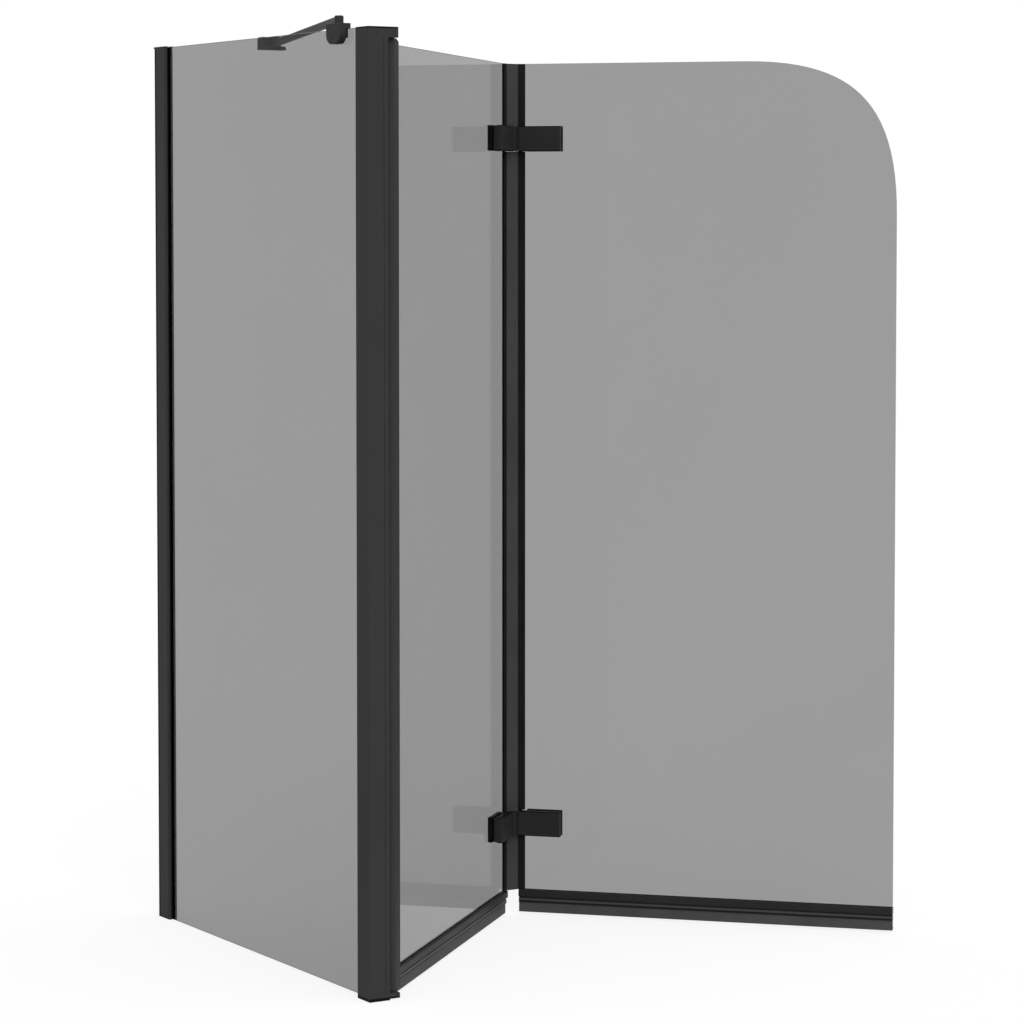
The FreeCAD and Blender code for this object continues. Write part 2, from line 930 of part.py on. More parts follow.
def make_door_1_gasket():
    """U gasket around the pivot edge of the glass of door 1."""
    reach = S.door_profile_reach + S.gasket_proud
    start = S.door_slot_start + S.gasket_wall
    prism(
        "door_1_gasket",
        DOOR_1,
        [
            (S.door_slot_start, -slot_half),
            (reach, -slot_half),
            (reach, -glass_half),
            (start, -glass_half),
            (start, glass_half),
            (reach, glass_half),
            (reach, slot_half),
            (S.door_slot_start, slot_half),
        ],
        profile_bottom,
        profile_top,
    )


def make_top_bush():
    """Top pivot bush: a sleeve in the profile under a head that slopes like a cam."""
    turn = S.door_profile_round
    reach = S.door_profile_reach
    head_top = post_top - S.seat_gap
    head = nose_corners() + [
        (reach, profile_half - turn),
        Arc(reach - turn, profile_half, reach - turn, profile_half - turn, turn),
    ]
    piece = prism("top_pivot_bush", DOOR_1, head, profile_top, head_top)
    add_rods(piece, [(ZERO, ZERO)], S.bush_radius, profile_top - S.bush_length, profile_top)
    drill_up(
        piece,
        [(ZERO, ZERO)],
        S.pivot_pin_radius + S.pin_clearance,
        profile_top - S.bush_length - S.cut_overrun,
        head_top + S.cut_overrun,
    )
    drawn = sketch(piece, "XZ_Plane", -(profile_half + S.cut_overrun))
    outline(
        drawn,
        [
            (S.cam_flat_end, head_top),
            (reach, profile_top + S.cam_low_edge),
            (reach + S.cut_overrun, profile_top + S.cam_low_edge),
            (reach + S.cut_overrun, head_top + S.cut_overrun),
            (S.cam_flat_end, head_top + S.cut_overrun),
        ],
    )
    pocket(piece, drawn, S.door_profile_thickness + S.cut_overrun * 2, forwards=True)


def make_bottom_bush():
    """Bottom pivot bush: a sleeve with a flange that the profile stands on."""
    piece = new_piece("bottom_pivot_bush", DOOR_1)
    axis = [(ZERO, ZERO)]
    add_rods(piece, axis, S.bush_flange_radius, profile_bottom - S.bush_flange_height, profile_bottom)
    add_rods(piece, axis, S.bush_radius, profile_bottom, profile_bottom + S.bush_length)
    drill_up(
        piece,
        axis,
        S.pivot_pin_radius + S.pin_clearance,
        profile_bottom - S.bush_flange_height - S.cut_overrun,
        profile_bottom + S.bush_length + S.cut_overrun,
    )


def make_door_1_glass():
    """Rectangular pane with two holes for each fold hinge."""
    piece = new_piece("door_1_glass", DOOR_1)
    drawn = sketch(piece, "XZ_Plane", -glass_half)
    start = S.door_slot_start + S.gasket_wall
    rectangle(drawn, start, door_glass_bottom, door_1_length - glass_gap, door_top)
    for level in hinge_levels.values():
        for place in screw_places:
            circle(drawn, door_1_length - place, level, S.glass_hole_radius)
    pad(piece, drawn, S.glass_thickness)
    bevel(piece, S.glass_polish, lambda edge: not crosses_glass(edge, "y"))


def make_door_2_glass():
    """Pane whose top free corner is one long curve, with two holes for each fold hinge."""
    near = glass_gap.value
    far = S.door_2_length.value
    low = door_glass_bottom.value
    high = door_top.value
    reach = S.corner_reach.value
    handle = reach * (1 - CORNER_HANDLE_SHARE)
    back = inner_face.value
    polish = S.glass_polish.value

    def face_at(y, inset):
        """The pane's face, with its outline drawn in by an inset."""
        right, top = far - inset, high - inset
        curve = Part.BezierCurve()
        curve.setPoles(
            [
                FreeCAD.Vector(right - reach, y, top),
                FreeCAD.Vector(right - handle, y, top),
                FreeCAD.Vector(right, y, top - handle),
                FreeCAD.Vector(right, y, top - reach),
            ]
        )
        corners = [
            FreeCAD.Vector(right, y, top - reach),
            FreeCAD.Vector(right, y, low + inset),
            FreeCAD.Vector(near + inset, y, low + inset),
            FreeCAD.Vector(near + inset, y, top),
            FreeCAD.Vector(right - reach, y, top),
        ]
        return Part.Wire([curve.toShape()] + Part.makePolygon(corners).Edges)

    front = S.fold_axis_offset.value
    layers = [(front, polish), (front + polish, 0), (back - polish, 0), (back, polish)]
    solid = Part.makeLoft([face_at(y, inset) for y, inset in layers], True, True)
    for level in hinge_levels.values():
        for place in screw_places:
            hole = Part.makeCylinder(
                S.glass_hole_radius.value,
                (S.glass_thickness + S.cut_overrun * 2).value,
                FreeCAD.Vector(place.value, front - S.cut_overrun.value, level.value),
                FreeCAD.Vector(0, 1, 0),
            )
            solid = solid.cut(hole)
    piece = document.addObject("Part::Feature", "door_2_glass")
    piece.Label = "door_2_glass"
    piece.Shape = solid
    stand(piece, FOLD_2)


# Bottom rails, wipers and edge strips of both doors


def make_rail(label, frame, start, end, middle):
    """Rail clipped on the lower edge of a pane, with a groove for the wiper."""
    clip = glass_half + S.rail_clip_proud
    groove = glass_half + S.rail_groove_proud
    bead = glass_half + S.rail_bead_proud
    slot = glass_half + S.glue_line
    root = S.wiper_root_width / 2
    root_top = rail_bottom + S.wiper_root_height
    section = [
        (bead, rail_bottom),
        (bead, rail_bead_top),
        (groove, rail_bead_top),
        (groove, rail_groove_top),
        (clip, rail_groove_top),
        (clip, rail_top - S.rail_bevel),
        (clip - S.rail_bevel, rail_top),
        (slot, rail_top),
        (slot, rail_slot_floor),
    ]
    root_section = [(root, root_top), (root, rail_bottom)]
    right = [(middle + y, z) for y, z in section]
    left = [(middle - y, z) for y, z in reversed(section)]
    root_left = [(middle - y, z) for y, z in reversed(root_section)]
    root_right = [(middle + y, z) for y, z in root_section]
    piece = new_piece(label, frame)
    drawn = sketch(piece, "YZ_Plane", start)
    outline(drawn, right + left + root_left + root_right)
    pad(piece, drawn, end - start)


def make_wiper(label, frame, start, end, middle):
    """Soft drip strip under a rail, with a fin towards the bath."""
    low = S.wiper_lift
    root = S.wiper_root_width / 2
    inner = middle + S.wiper_inner_reach
    foot = middle + S.wiper_foot_reach
    tip = middle + S.wiper_fin_reach
    piece = new_piece(label, frame)
    drawn = sketch(piece, "YZ_Plane", start)
    outline(
        drawn,
        [
            (middle - glass_half, rail_bottom),
            (middle - glass_half, low),
            (foot, low),
            (foot, low + S.wiper_fin_root_low),
            (tip, low + S.wiper_fin_tip_low),
            (tip, low + S.wiper_fin_tip_high),
            (inner, low + S.wiper_fin_root_high),
            (inner, rail_bottom),
            (middle + root, rail_bottom + S.wiper_root_height),
            (middle - root, rail_bottom + S.wiper_root_height),
            (middle - root, rail_bottom),
        ],
    )
    pad(piece, drawn, end - start)


def make_edge_strip(label, frame, side):
    """U strip on the fold edge of a pane, cut away outside at the two hinges."""
    near = S.strip_gap * side
    pane = glass_gap * side
    far = (S.strip_gap + S.strip_width) * side
    inner_far = (S.strip_gap + S.strip_inner_width) * side
    outer = S.fold_axis_offset - S.strip_leg
    piece = prism(
        label,
        frame,
        [
            (near, outer),
            (far, outer),
            (far, S.fold_axis_offset),
            (pane, S.fold_axis_offset),
            (pane, inner_face),
            (inner_far, inner_face),
            (inner_far, inner_face + S.strip_leg),
            (near, inner_face + S.strip_leg),
        ],
        rail_top,
        door_top,
    )
    for level in hinge_levels.values():
        bottom = level - S.hinge_height / 2 - S.seat_gap
        drawn = sketch(piece, "XY_Plane", bottom)
        rectangle(
            drawn,
            near - S.cut_overrun * side,
            outer - S.cut_overrun,
            far + S.cut_overrun * side,
            S.fold_axis_offset,
        )
        pocket(piece, drawn, S.hinge_height + S.seat_gap * 2, forwards=True)


def make_fold_seals():
    """Soft web between the two edge strips, in three lengths between rails and hinges."""
    outer = S.fold_axis_offset - S.strip_leg
    inner = outer + S.seal_thickness
    section = [
        (-S.strip_gap, outer),
        turned(S.strip_gap, outer, -S.fold_angle),
        turned(S.strip_gap, inner, -S.fold_angle),
        (-S.strip_gap, inner),
    ]
    clear = S.hinge_height / 2 + S.seat_gap
    for label, bottom, top in (
        ("fold_seal_lower", rail_top, hinge_levels["lower"] - clear),
        ("fold_seal_middle", hinge_levels["lower"] + clear, hinge_levels["upper"] - clear),
        ("fold_seal_upper", hinge_levels["upper"] + clear, door_top),
    ):
        prism(label, FOLD_1, section, bottom, top)


# Fold hinges: leaves with knuckles, covers, inner plates, pins, screws, pads and sleeves


def make_leaf(name, number, frame, level, knuckles):
    """Outer leaf of a fold hinge: a plate, a raised land, a tail behind the pin and the knuckles."""
    side = -1 if number == 1 else 1
    bottom = level - S.hinge_height / 2
    top = level + S.hinge_height / 2
    land = (knuckle_clear + S.leaf_land) * side
    land_face = cover_face + S.leaf_land_drop
    piece = prism(
        f"{name}_hinge_leaf_{number}",
        frame,
        [
            (S.leaf_tail_start * side, leaf_back),
            (S.leaf_tail_start * side, knuckle_clear),
            (knuckle_clear * side, knuckle_clear),
            (knuckle_clear * side, land_face),
            (land, land_face),
            (land, leaf_face),
            (S.leaf_end * side, leaf_face),
            (S.leaf_end * side, leaf_back),
        ],
        bottom + S.leaf_inset,
        top - S.leaf_inset,
    )
    for low, high in knuckles:
        neck = box_corners(ZERO, land_face, land, leaf_back)
        add_prism(piece, neck, low, high)
        add_rods(piece, [(ZERO, ZERO)], S.knuckle_radius, low, high)
    clearance = S.press_clearance if number == 1 else S.pin_clearance
    drill_up(
        piece,
        [(ZERO, ZERO)],
        S.hinge_pin_radius + clearance,
        bottom - S.cut_overrun,
        top + S.cut_overrun,
    )
    drill_across(piece, side, [level], S.hinge_screw_radius + S.slide_clearance, leaf_face, leaf_back)


def drill_across(piece, side, levels, radius, front, back):
    """Drills the hinge screws' holes through a plate between its front and its back."""
    drawn = sketch(piece, "XZ_Plane", -(front - S.cut_overrun))
    for level in levels:
        for place in screw_places:
            circle(drawn, place * side, level, radius)
    pocket(piece, drawn, back - front + S.cut_overrun * 2)


def make_cover(name, number, frame, level):
    """Cover that hides the screw heads on a leaf."""
    side = -1 if number == 1 else 1
    half_height = S.hinge_height / 2
    near = (knuckle_clear + S.leaf_land + S.seat_gap) * side
    piece = prism(
        f"{name}_hinge_cover_{number}",
        frame,
        box_corners(near, cover_face, S.cover_end * side, leaf_face),
        level - half_height,
        level + half_height,
    )
    bevel(piece, S.cover_bevel, lies_at("y", cover_face))
    drawn = sketch(piece, "XZ_Plane", -(leaf_face + S.cut_overrun))
    for place in screw_places:
        circle(drawn, place * side, level, S.hinge_screw_head_radius + S.slide_clearance)
    recess = S.hinge_screw_head_height + S.slide_clearance + S.cut_overrun
    pocket(piece, drawn, recess, forwards=True)


def make_inner_plate(name, number, frame, level):
    """Plate behind the pane that the hinge screws are threaded in."""
    side = -1 if number == 1 else 1
    half = S.hinge_height / 2
    piece = prism(
        f"{name}_hinge_inner_plate_{number}",
        frame,
        box_corners(S.inner_plate_start * side, inner_plate_back, S.leaf_end * side, inner_plate_face),
        level - half,
        level + half,
    )
    bevel(piece, S.cover_bevel, lies_at("y", inner_plate_face))
    drill_across(
        piece,
        side,
        [level],
        S.hinge_screw_radius + S.press_clearance,
        inner_plate_back,
        inner_plate_face,
    )


def make_hinge_pin(name, level):
    """Pin through the knuckles, pressed in those of leaf 1."""
    piece = new_piece(f"{name}_hinge_pin", FOLD_1)
    half = S.hinge_height / 2 - S.seat_gap
    add_rods(piece, [(ZERO, ZERO)], S.hinge_pin_radius, level - half, level + half)


def make_hinge(name, level):
    """One fold hinge: three knuckles, the outer two on door 1 and the middle one on door 2."""
    bottom = level - S.hinge_height / 2
    top = level + S.hinge_height / 2
    knuckle = (S.hinge_height - S.seat_gap * (KNUCKLE_COUNT - 1)) / KNUCKLE_COUNT
    outer = [(bottom, bottom + knuckle), (top - knuckle, top)]
    middle = [(level - knuckle / 2, level + knuckle / 2)]
    for number, frame, knuckles in ((1, FOLD_1, outer), (2, FOLD_2, middle)):
        make_leaf(name, number, frame, level, knuckles)
        make_cover(name, number, frame, level)
        make_inner_plate(name, number, frame, level)
    make_hinge_pin(name, level)


def across_discs(piece, side, radius, front, length, bore=None):
    """Adds discs about the hinge screws of both hinges, from a front towards the bath."""
    drawn = sketch(piece, "XZ_Plane", -front)
    for level in hinge_levels.values():
        for place in screw_places:
            circle(drawn, place * side, level, radius)
            if bore is not None:
                circle(drawn, place * side, level, bore)
    pad(piece, drawn, length, backwards=True)


def make_hinge_screws(number, frame):
    """Screws of both hinges of a door, from the leaf through the pane to the inner plate."""
    side = -1 if number == 1 else 1
    piece = new_piece(f"door_{number}_hinge_screws", frame)
    head_front = leaf_face - S.hinge_screw_head_height
    across_discs(piece, side, S.hinge_screw_head_radius, head_front, S.hinge_screw_head_height)
    shank = inner_plate_face - leaf_face - S.seat_gap
    across_discs(piece, side, S.hinge_screw_radius, leaf_face, shank)


def make_glass_sleeves(number, frame):
    """Sleeves around the hinge screws in the holes of a pane."""
    side = -1 if number == 1 else 1
    piece = new_piece(f"door_{number}_glass_sleeves", frame)
    across_discs(
        piece,
        side,
        S.glass_hole_radius - S.glue_line,
        S.fold_axis_offset,
        S.glass_thickness,
        S.hinge_screw_radius + S.glue_line,
    )


def make_hinge_pads(number, frame):
    """Pads between the pane and the leaves and inner plates of both hinges."""
    side = -1 if number == 1 else 1
    piece = new_piece(f"door_{number}_hinge_pads", frame)
    half = S.hinge_height / 2 - S.leaf_inset
    for start, front in ((glass_gap, leaf_back), (S.inner_plate_start, inner_face)):
        drawn = sketch(piece, "XZ_Plane", -front)
        for level in hinge_levels.values():
            rectangle(drawn, start * side, level - half, S.leaf_end * side, level + half)
            for place in screw_places:
                circle(drawn, place * side, level, S.hinge_screw_radius + S.slide_clearance)
        pad(piece, drawn, S.hinge_pad, backwards=True)


# Support arm: clamp on the side glass, bar and wall bracket


def make_glass_clamp():
    """Saddle over the top of the side glass, with a rounded outer plate and a small inner jaw."""
    half = S.clamp_width / 2
    turn = S.clamp_round
    left, right = clamp_y - half, clamp_y + half
    piece = new_piece("arm_glass_clamp")
    drawn = sketch(piece, "YZ_Plane", clamp_outer)
    outline(
        drawn,
        [
            (left, clamp_top),
            (left, clamp_bottom + turn),
            Arc(left + turn, clamp_bottom, left + turn, clamp_bottom + turn, turn),
            (right - turn, clamp_bottom),
            Arc(right, clamp_bottom + turn, right - turn, clamp_bottom + turn, turn),
            (right, clamp_top),
        ],
    )
    pad(piece, drawn, S.clamp_thickness)
    saddle_bottom = S.screen_height + S.glue_line
    add_prism(piece, box_corners(clamp_outer, left, clamp_slot_half, right), saddle_bottom, clamp_top)
    jaw_half = S.clamp_jaw_width / 2
    jaw_face = clamp_slot_half + S.clamp_jaw_thickness
    add_prism(
        piece,
        box_corners(clamp_slot_half, clamp_y - jaw_half, jaw_face, clamp_y + jaw_half),
        S.screen_height - S.clamp_jaw_height,
        clamp_top,
    )
    bevel(piece, S.clamp_edge, lies_at("x", clamp_outer))
    drawn = sketch(piece, "YZ_Plane", clamp_outer - S.cut_overrun)
    circle(drawn, clamp_y, clamp_bottom + S.clamp_screw_rise, S.clamp_screw_radius + S.pin_clearance)
    pocket(piece, drawn, S.clamp_thickness + S.cut_overrun * 2, forwards=True)
    drill_up(
        piece,
        [(swivel_x, swivel_y)],
        S.swivel_radius + S.press_clearance,
        clamp_top - S.swivel_bite,
        clamp_top + S.cut_overrun,
    )


def make_clamp_screw():
    """Grub screw that presses the outer pad against the glass."""
    piece = new_piece("arm_clamp_screw")
    drawn = sketch(piece, "YZ_Plane", clamp_outer + S.clamp_screw_recess)
    level = clamp_bottom + S.clamp_screw_rise
    circle(drawn, clamp_y, level, S.clamp_screw_radius)
    circle(drawn, clamp_y, level, S.clamp_screw_radius / 2)
    pad(piece, drawn, S.clamp_screw_radius)
    drawn = sketch(piece, "YZ_Plane", clamp_outer + S.clamp_screw_recess + S.clamp_screw_radius)
    circle(drawn, clamp_y, level, S.clamp_screw_radius)
    pad(piece, drawn, S.clamp_thickness - S.clamp_screw_recess - S.clamp_screw_radius)


def make_clamp_pads():
    """Two pads between the clamp and the faces of the glass."""
    piece = new_piece("arm_clamp_pads")
    pad_top = S.screen_height - S.clamp_screw_rise / 2
    for face, half, bottom in (
        (-clamp_slot_half, S.clamp_width / 2 - S.clamp_screw_rise, clamp_bottom + S.clamp_screw_rise / 2),
        (glass_half, S.clamp_jaw_width / 2, S.screen_height - S.clamp_jaw_height),
    ):
        drawn = sketch(piece, "YZ_Plane", face)
        rectangle(drawn, clamp_y - half, bottom, clamp_y + half, pad_top)
        pad(piece, drawn, S.clamp_pad)


def make_arm_bar():
    """Straight bar from the glass clamp to the wall bracket, with an eye on the clamp and a boss."""
    run_x = S.arm_wall_place - swivel_x
    run_y = -(swivel_y + S.arm_wall_distance)
    square = run_x * run_x + run_y * run_y
    length = Size(f"sqrt({square.formula})", math.sqrt(square.value))
    angle = Size(
        f"atan({(run_y / run_x).formula}) / 1deg",
        math.degrees(math.atan2(run_y.value, run_x.value)),
    )
    frame = Frame(swivel_x, swivel_y, angle)
    half = S.arm_width / 2
    corners = [
        (ZERO, -half),
        (length, -half),
        Arc(length + half, ZERO, length, ZERO, half),
        Arc(length, half, length, ZERO, half),
        (ZERO, half),
        Arc(-half, ZERO, ZERO, ZERO, half),
        Arc(ZERO, -half, ZERO, ZERO, half),
    ]
    piece = prism("arm_bar", frame, corners[1:], arm_bottom, arm_top)
    bevel(piece, S.arm_edge, lambda edge: lies_at("z", arm_top)(edge) or lies_at("z", arm_bottom)(edge))
    centres = [(ZERO, ZERO), (length, ZERO)]
    add_rods(piece, centres[:1], S.arm_eye_radius, arm_bottom, eye_top)
    bevel(piece, S.arm_eye_edge, lies_at("z", eye_top))
    add_rods(piece, centres[1:], half - S.arm_edge, arm_top - S.arm_edge, eye_top)
    hole = S.swivel_radius + S.glue_line
    drill_up(piece, centres, hole, arm_bottom - S.cut_overrun, eye_top + S.cut_overrun)
    recess = S.swivel_head_radius + S.glue_line
    drill_up(piece, centres[:1], recess, eye_top - S.swivel_head_height, eye_top + S.cut_overrun)


def make_arm_bracket():
    """Wall bracket with a slot for the end of the bar."""
    left = S.arm_wall_place - S.bracket_left
    right = S.arm_wall_place + S.bracket_right
    bottom = S.screen_height + S.bracket_rise
    top = S.screen_height + S.bracket_height
    piece = new_piece("arm_wall_bracket")
    drawn = sketch(piece, "XZ_Plane", ZERO)
    outline(
        drawn,
        [
            (left, bottom),
            (right, bottom),
            (right, bottom + S.bracket_flare_low),
            (right - S.bracket_flare, bottom + S.bracket_flare_high),
            (right - S.bracket_flare, top),
            (left, top),
        ],
    )
    pad(piece, drawn, S.bracket_depth)
    drawn = sketch(piece, "XY_Plane", clamp_top)
    rectangle(
        drawn,
        left + S.bracket_side,
        -(S.bracket_depth + S.cut_overrun),
        right + S.cut_overrun,
        -S.bracket_back,
    )
    pocket(piece, drawn, top - S.bracket_lip - clamp_top, forwards=True)
    bevel(piece, S.cap_edge, lies_at("y", -S.bracket_depth))
    drill_up(
        piece,
        [(S.arm_wall_place, -S.arm_wall_distance)],
        S.swivel_radius + S.glue_line,
        clamp_top - S.swivel_bite,
        top + S.cut_overrun,
    )
    drawn = sketch(piece, "XZ_Plane", -S.cut_overrun)
    circle(drawn, left + S.bracket_hole_place, arm_bottom + S.arm_height / 2, S.bracket_hole_radius)
    pocket(piece, drawn, S.bracket_back + S.cut_overrun * 2, forwards=True)


def make_swivel_screws():
    """The screw in each end of the bar, the one at the wall under a domed head."""
    bracket_top = S.screen_height + S.bracket_height
    wall_end = [(S.arm_wall_place, -S.arm_wall_distance)]
    clamp_end = [(swivel_x, swivel_y)]
    low = clamp_top - S.swivel_bite + S.glue_line
    piece = new_piece("arm_clamp_swivel_screw")
    add_rods(piece, clamp_end, S.swivel_radius, low, eye_top - S.swivel_head_height)
    head_top = eye_top - S.clamp_screw_recess
    add_rods(piece, clamp_end, S.swivel_head_radius, eye_top - S.swivel_head_height, head_top)
    piece = new_piece("arm_wall_swivel_screw")
    add_rods(piece, wall_end, S.swivel_radius, low, bracket_top)
    add_rods(piece, wall_end, S.cap_head_radius, bracket_top, bracket_top + S.cap_head_height)
    bevel(piece, S.cap_head_bevel, lies_at("z", bracket_top + S.cap_head_height))


def make_everything():
    """Builds the whole screen, from the wall to the free edge of door 2."""
    make_wall_channel()
    make_wall_glass_profile()
    make_wall_gasket()
    make_wall_cap()
    make_lock_screws()
    make_side_glass()
    make_corner_post()
    make_post_gasket()
    make_pivot_seal()
    make_post_caps()
    make_cap_screws()
    make_pivot_pins()
    make_door_1_profile()
    make_door_1_gasket()
    make_top_bush()
    make_bottom_bush()
    make_door_1_glass()
    make_door_2_glass()
    rail_end = door_1_length - S.rail_end_gap
    make_rail("door_1_bottom_rail", DOOR_1, rail_start, rail_end, ZERO)
    make_wiper("door_1_wiper", DOOR_1, rail_start, rail_end, ZERO)
    make_rail("door_2_bottom_rail", FOLD_2, S.rail_end_gap, S.door_2_length, fold_middle)
    make_wiper("door_2_wiper", FOLD_2, S.rail_end_gap, S.door_2_length, fold_middle)
    make_edge_strip("door_1_edge_strip", FOLD_1, -1)
    make_edge_strip("door_2_edge_strip", FOLD_2, 1)
    make_fold_seals()
    for name, level in hinge_levels.items():
        make_hinge(name, level)
    for number, frame in ((1, FOLD_1), (2, FOLD_2)):
        make_hinge_screws(number, frame)
        make_glass_sleeves(number, frame)
        make_hinge_pads(number, frame)
    make_glass_clamp()
    make_clamp_screw()
    make_clamp_pads()
    make_arm_bar()
    make_arm_bracket()
    make_swivel_screws()
    document.recompute()


def check_everything():
    """Stops before anything is written if a feature failed or a shape is not sound."""
    for thing in document.Objects:
        if "Invalid" in thing.State or "Error" in thing.State:
            raise RuntimeError(f"{thing.Label} failed: {thing.State}")
    for piece in pieces:
        if piece.Shape.isNull() or not piece.Shape.isValid():
            raise RuntimeError(f"{piece.Label} has no sound shape")


make_everything()
check_everything()
os.makedirs("parts", exist_ok=True)
for piece in pieces:
    piece.Shape.exportStep(f"parts/{piece.Label}.step")
    print(f"{piece.Label}: {len(piece.Shape.Solids)} solids, {piece.Shape.Volume:.1f} mm3")
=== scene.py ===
"""Dresses the bath screen: finishes, fine pieces, studio and camera.

Lengths are in metres, in the CAD frame.
"""

import logging
import math
from collections.abc import Callable, Iterable
from dataclasses import dataclass, replace
from enum import Enum

import bmesh
import bpy
from mathutils import Matrix, Vector


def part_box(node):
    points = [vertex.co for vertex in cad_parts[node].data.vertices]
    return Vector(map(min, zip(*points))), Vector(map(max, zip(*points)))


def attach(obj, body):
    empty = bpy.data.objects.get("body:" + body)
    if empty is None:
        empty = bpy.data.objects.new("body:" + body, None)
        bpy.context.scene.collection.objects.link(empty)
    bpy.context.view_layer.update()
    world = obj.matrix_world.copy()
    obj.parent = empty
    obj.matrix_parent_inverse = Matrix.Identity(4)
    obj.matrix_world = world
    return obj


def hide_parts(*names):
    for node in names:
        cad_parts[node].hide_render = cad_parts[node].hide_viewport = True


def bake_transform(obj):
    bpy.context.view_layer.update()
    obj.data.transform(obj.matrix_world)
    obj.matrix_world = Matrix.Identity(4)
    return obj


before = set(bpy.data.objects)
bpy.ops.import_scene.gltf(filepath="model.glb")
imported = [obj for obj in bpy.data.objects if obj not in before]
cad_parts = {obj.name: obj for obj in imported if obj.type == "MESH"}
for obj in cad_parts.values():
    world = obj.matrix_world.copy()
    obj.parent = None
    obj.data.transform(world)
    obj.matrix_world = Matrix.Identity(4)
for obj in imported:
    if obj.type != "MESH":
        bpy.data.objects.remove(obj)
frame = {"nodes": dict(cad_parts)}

LOG = logging.getLogger("bath_screen")
MM = 0.001
TINY = 1e-6

Colour = tuple[float, float, float]

# Sockets of a Mix node that mixes colours
MIX_FACTOR, MIX_BASE, MIX_OVER, MIX_RESULT = 0, 6, 7, 2


class Slot(Enum):
    """Names of two material slots in the record."""

    SEAL = "soft_pvc"
    STEEL = "dark_steel"


class Recess(Enum):
    """Shapes of the drive in a screw's head."""

    HEX = "hex"
    CROSS = "cross"


# Node groups

GRAIN_DETAIL, GRAIN_ROUGHNESS = 3.0, 0.55
CLOUD_DETAIL, CLOUD_ROUGHNESS = 4.0, 0.6
PEEL_SMOOTHNESS = 0.9
PEEL_SCALE_SHARE = 0.4
BEVEL_SAMPLES = 6
# Cosine between the rounded and the flat normal, from a plain face to a full edge
EDGE_TURN = (0.995, 0.80)
PATCH_DETAIL = 3.0
PATCH_SPAN = (0.38, 0.66)


class GroupMaker:
    """Makes a shader node group with named inputs and outputs."""

    def __init__(self, name: str) -> None:
        """Starts an empty group.

        Args:
            name: Name of the group.
        """
        self.tree = bpy.data.node_groups.new(name, "ShaderNodeTree")
        self.inside = self.tree.nodes.new("NodeGroupInput")
        self.outside = self.tree.nodes.new("NodeGroupOutput")

    def socket(self, name: str, kind: str, default: float | None = None) -> None:
        """Adds an input with a default, or an output where there is no default.

        Args:
            name: Name of the socket.
            kind: Float, Color or Vector.
            default: Value of an input that nothing feeds.
        """
        way = "OUTPUT" if default is None else "INPUT"
        made = self.tree.interface.new_socket(name, in_out=way, socket_type=f"NodeSocket{kind}")
        if default is not None:
            made.default_value = default

    def node(self, kind: str, **settings: object) -> bpy.types.Node:
        """Adds a node and sets its properties.

        Args:
            kind: Node type without its ShaderNode prefix.
            settings: Properties of the node.

        Returns:
            The new node.
        """
        return add_node(self.tree, kind, **settings)

    def link(self, source: bpy.types.NodeSocket, target: bpy.types.NodeSocket) -> None:
        """Joins two sockets.

        Args:
            source: Output that feeds.
            target: Input that is fed.
        """
        self.tree.links.new(source, target)


def add_node(tree: bpy.types.NodeTree, kind: str, **settings: object) -> bpy.types.Node:
    """Adds a shader node to a tree.

    Args:
        tree: Tree that the node goes into.
        kind: Node type without its ShaderNode prefix.
        settings: Properties of the node.

    Returns:
        The new node.
    """
    node = tree.nodes.new(f"ShaderNode{kind}")
    for key, value in settings.items():
        setattr(node, key, value)
    return node


def make_surface_grain() -> bpy.types.NodeTree:
    """Makes the group for a fine grain and a slow cloud: the grain's height and the cloud.

    Returns:
        The node group.
    """
    maker = GroupMaker("surface_grain")
    maker.socket("Grain Scale", "Float", 1200.0)
    maker.socket("Cloud Scale", "Float", 6.0)
    maker.socket("Height", "Float")
    maker.socket("Cloud", "Float")
    place = maker.node("TexCoord")
    grain = maker.node("TexNoise")
    grain.inputs["Detail"].default_value = GRAIN_DETAIL
    grain.inputs["Roughness"].default_value = GRAIN_ROUGHNESS
    peel = maker.node("TexVoronoi", feature="SMOOTH_F1")
    peel.inputs["Smoothness"].default_value = PEEL_SMOOTHNESS
    cloud = maker.node("TexNoise")
    cloud.inputs["Detail"].default_value = CLOUD_DETAIL
    cloud.inputs["Roughness"].default_value = CLOUD_ROUGHNESS
    coarse = maker.node("Math", operation="MULTIPLY")
    coarse.inputs[1].default_value = PEEL_SCALE_SHARE
    height = maker.node("Math", operation="ADD")
    for node in (grain, peel, cloud):
        maker.link(place.outputs["Object"], node.inputs["Vector"])
    maker.link(maker.inside.outputs["Grain Scale"], grain.inputs["Scale"])
    maker.link(maker.inside.outputs["Grain Scale"], coarse.inputs[0])
    maker.link(coarse.outputs[0], peel.inputs["Scale"])
    maker.link(maker.inside.outputs["Cloud Scale"], cloud.inputs["Scale"])
    maker.link(grain.outputs["Fac"], height.inputs[0])
    maker.link(peel.outputs["Distance"], height.inputs[1])
    maker.link(height.outputs[0], maker.outside.inputs["Height"])
    maker.link(cloud.outputs["Fac"], maker.outside.inputs["Cloud"])
    return maker.tree


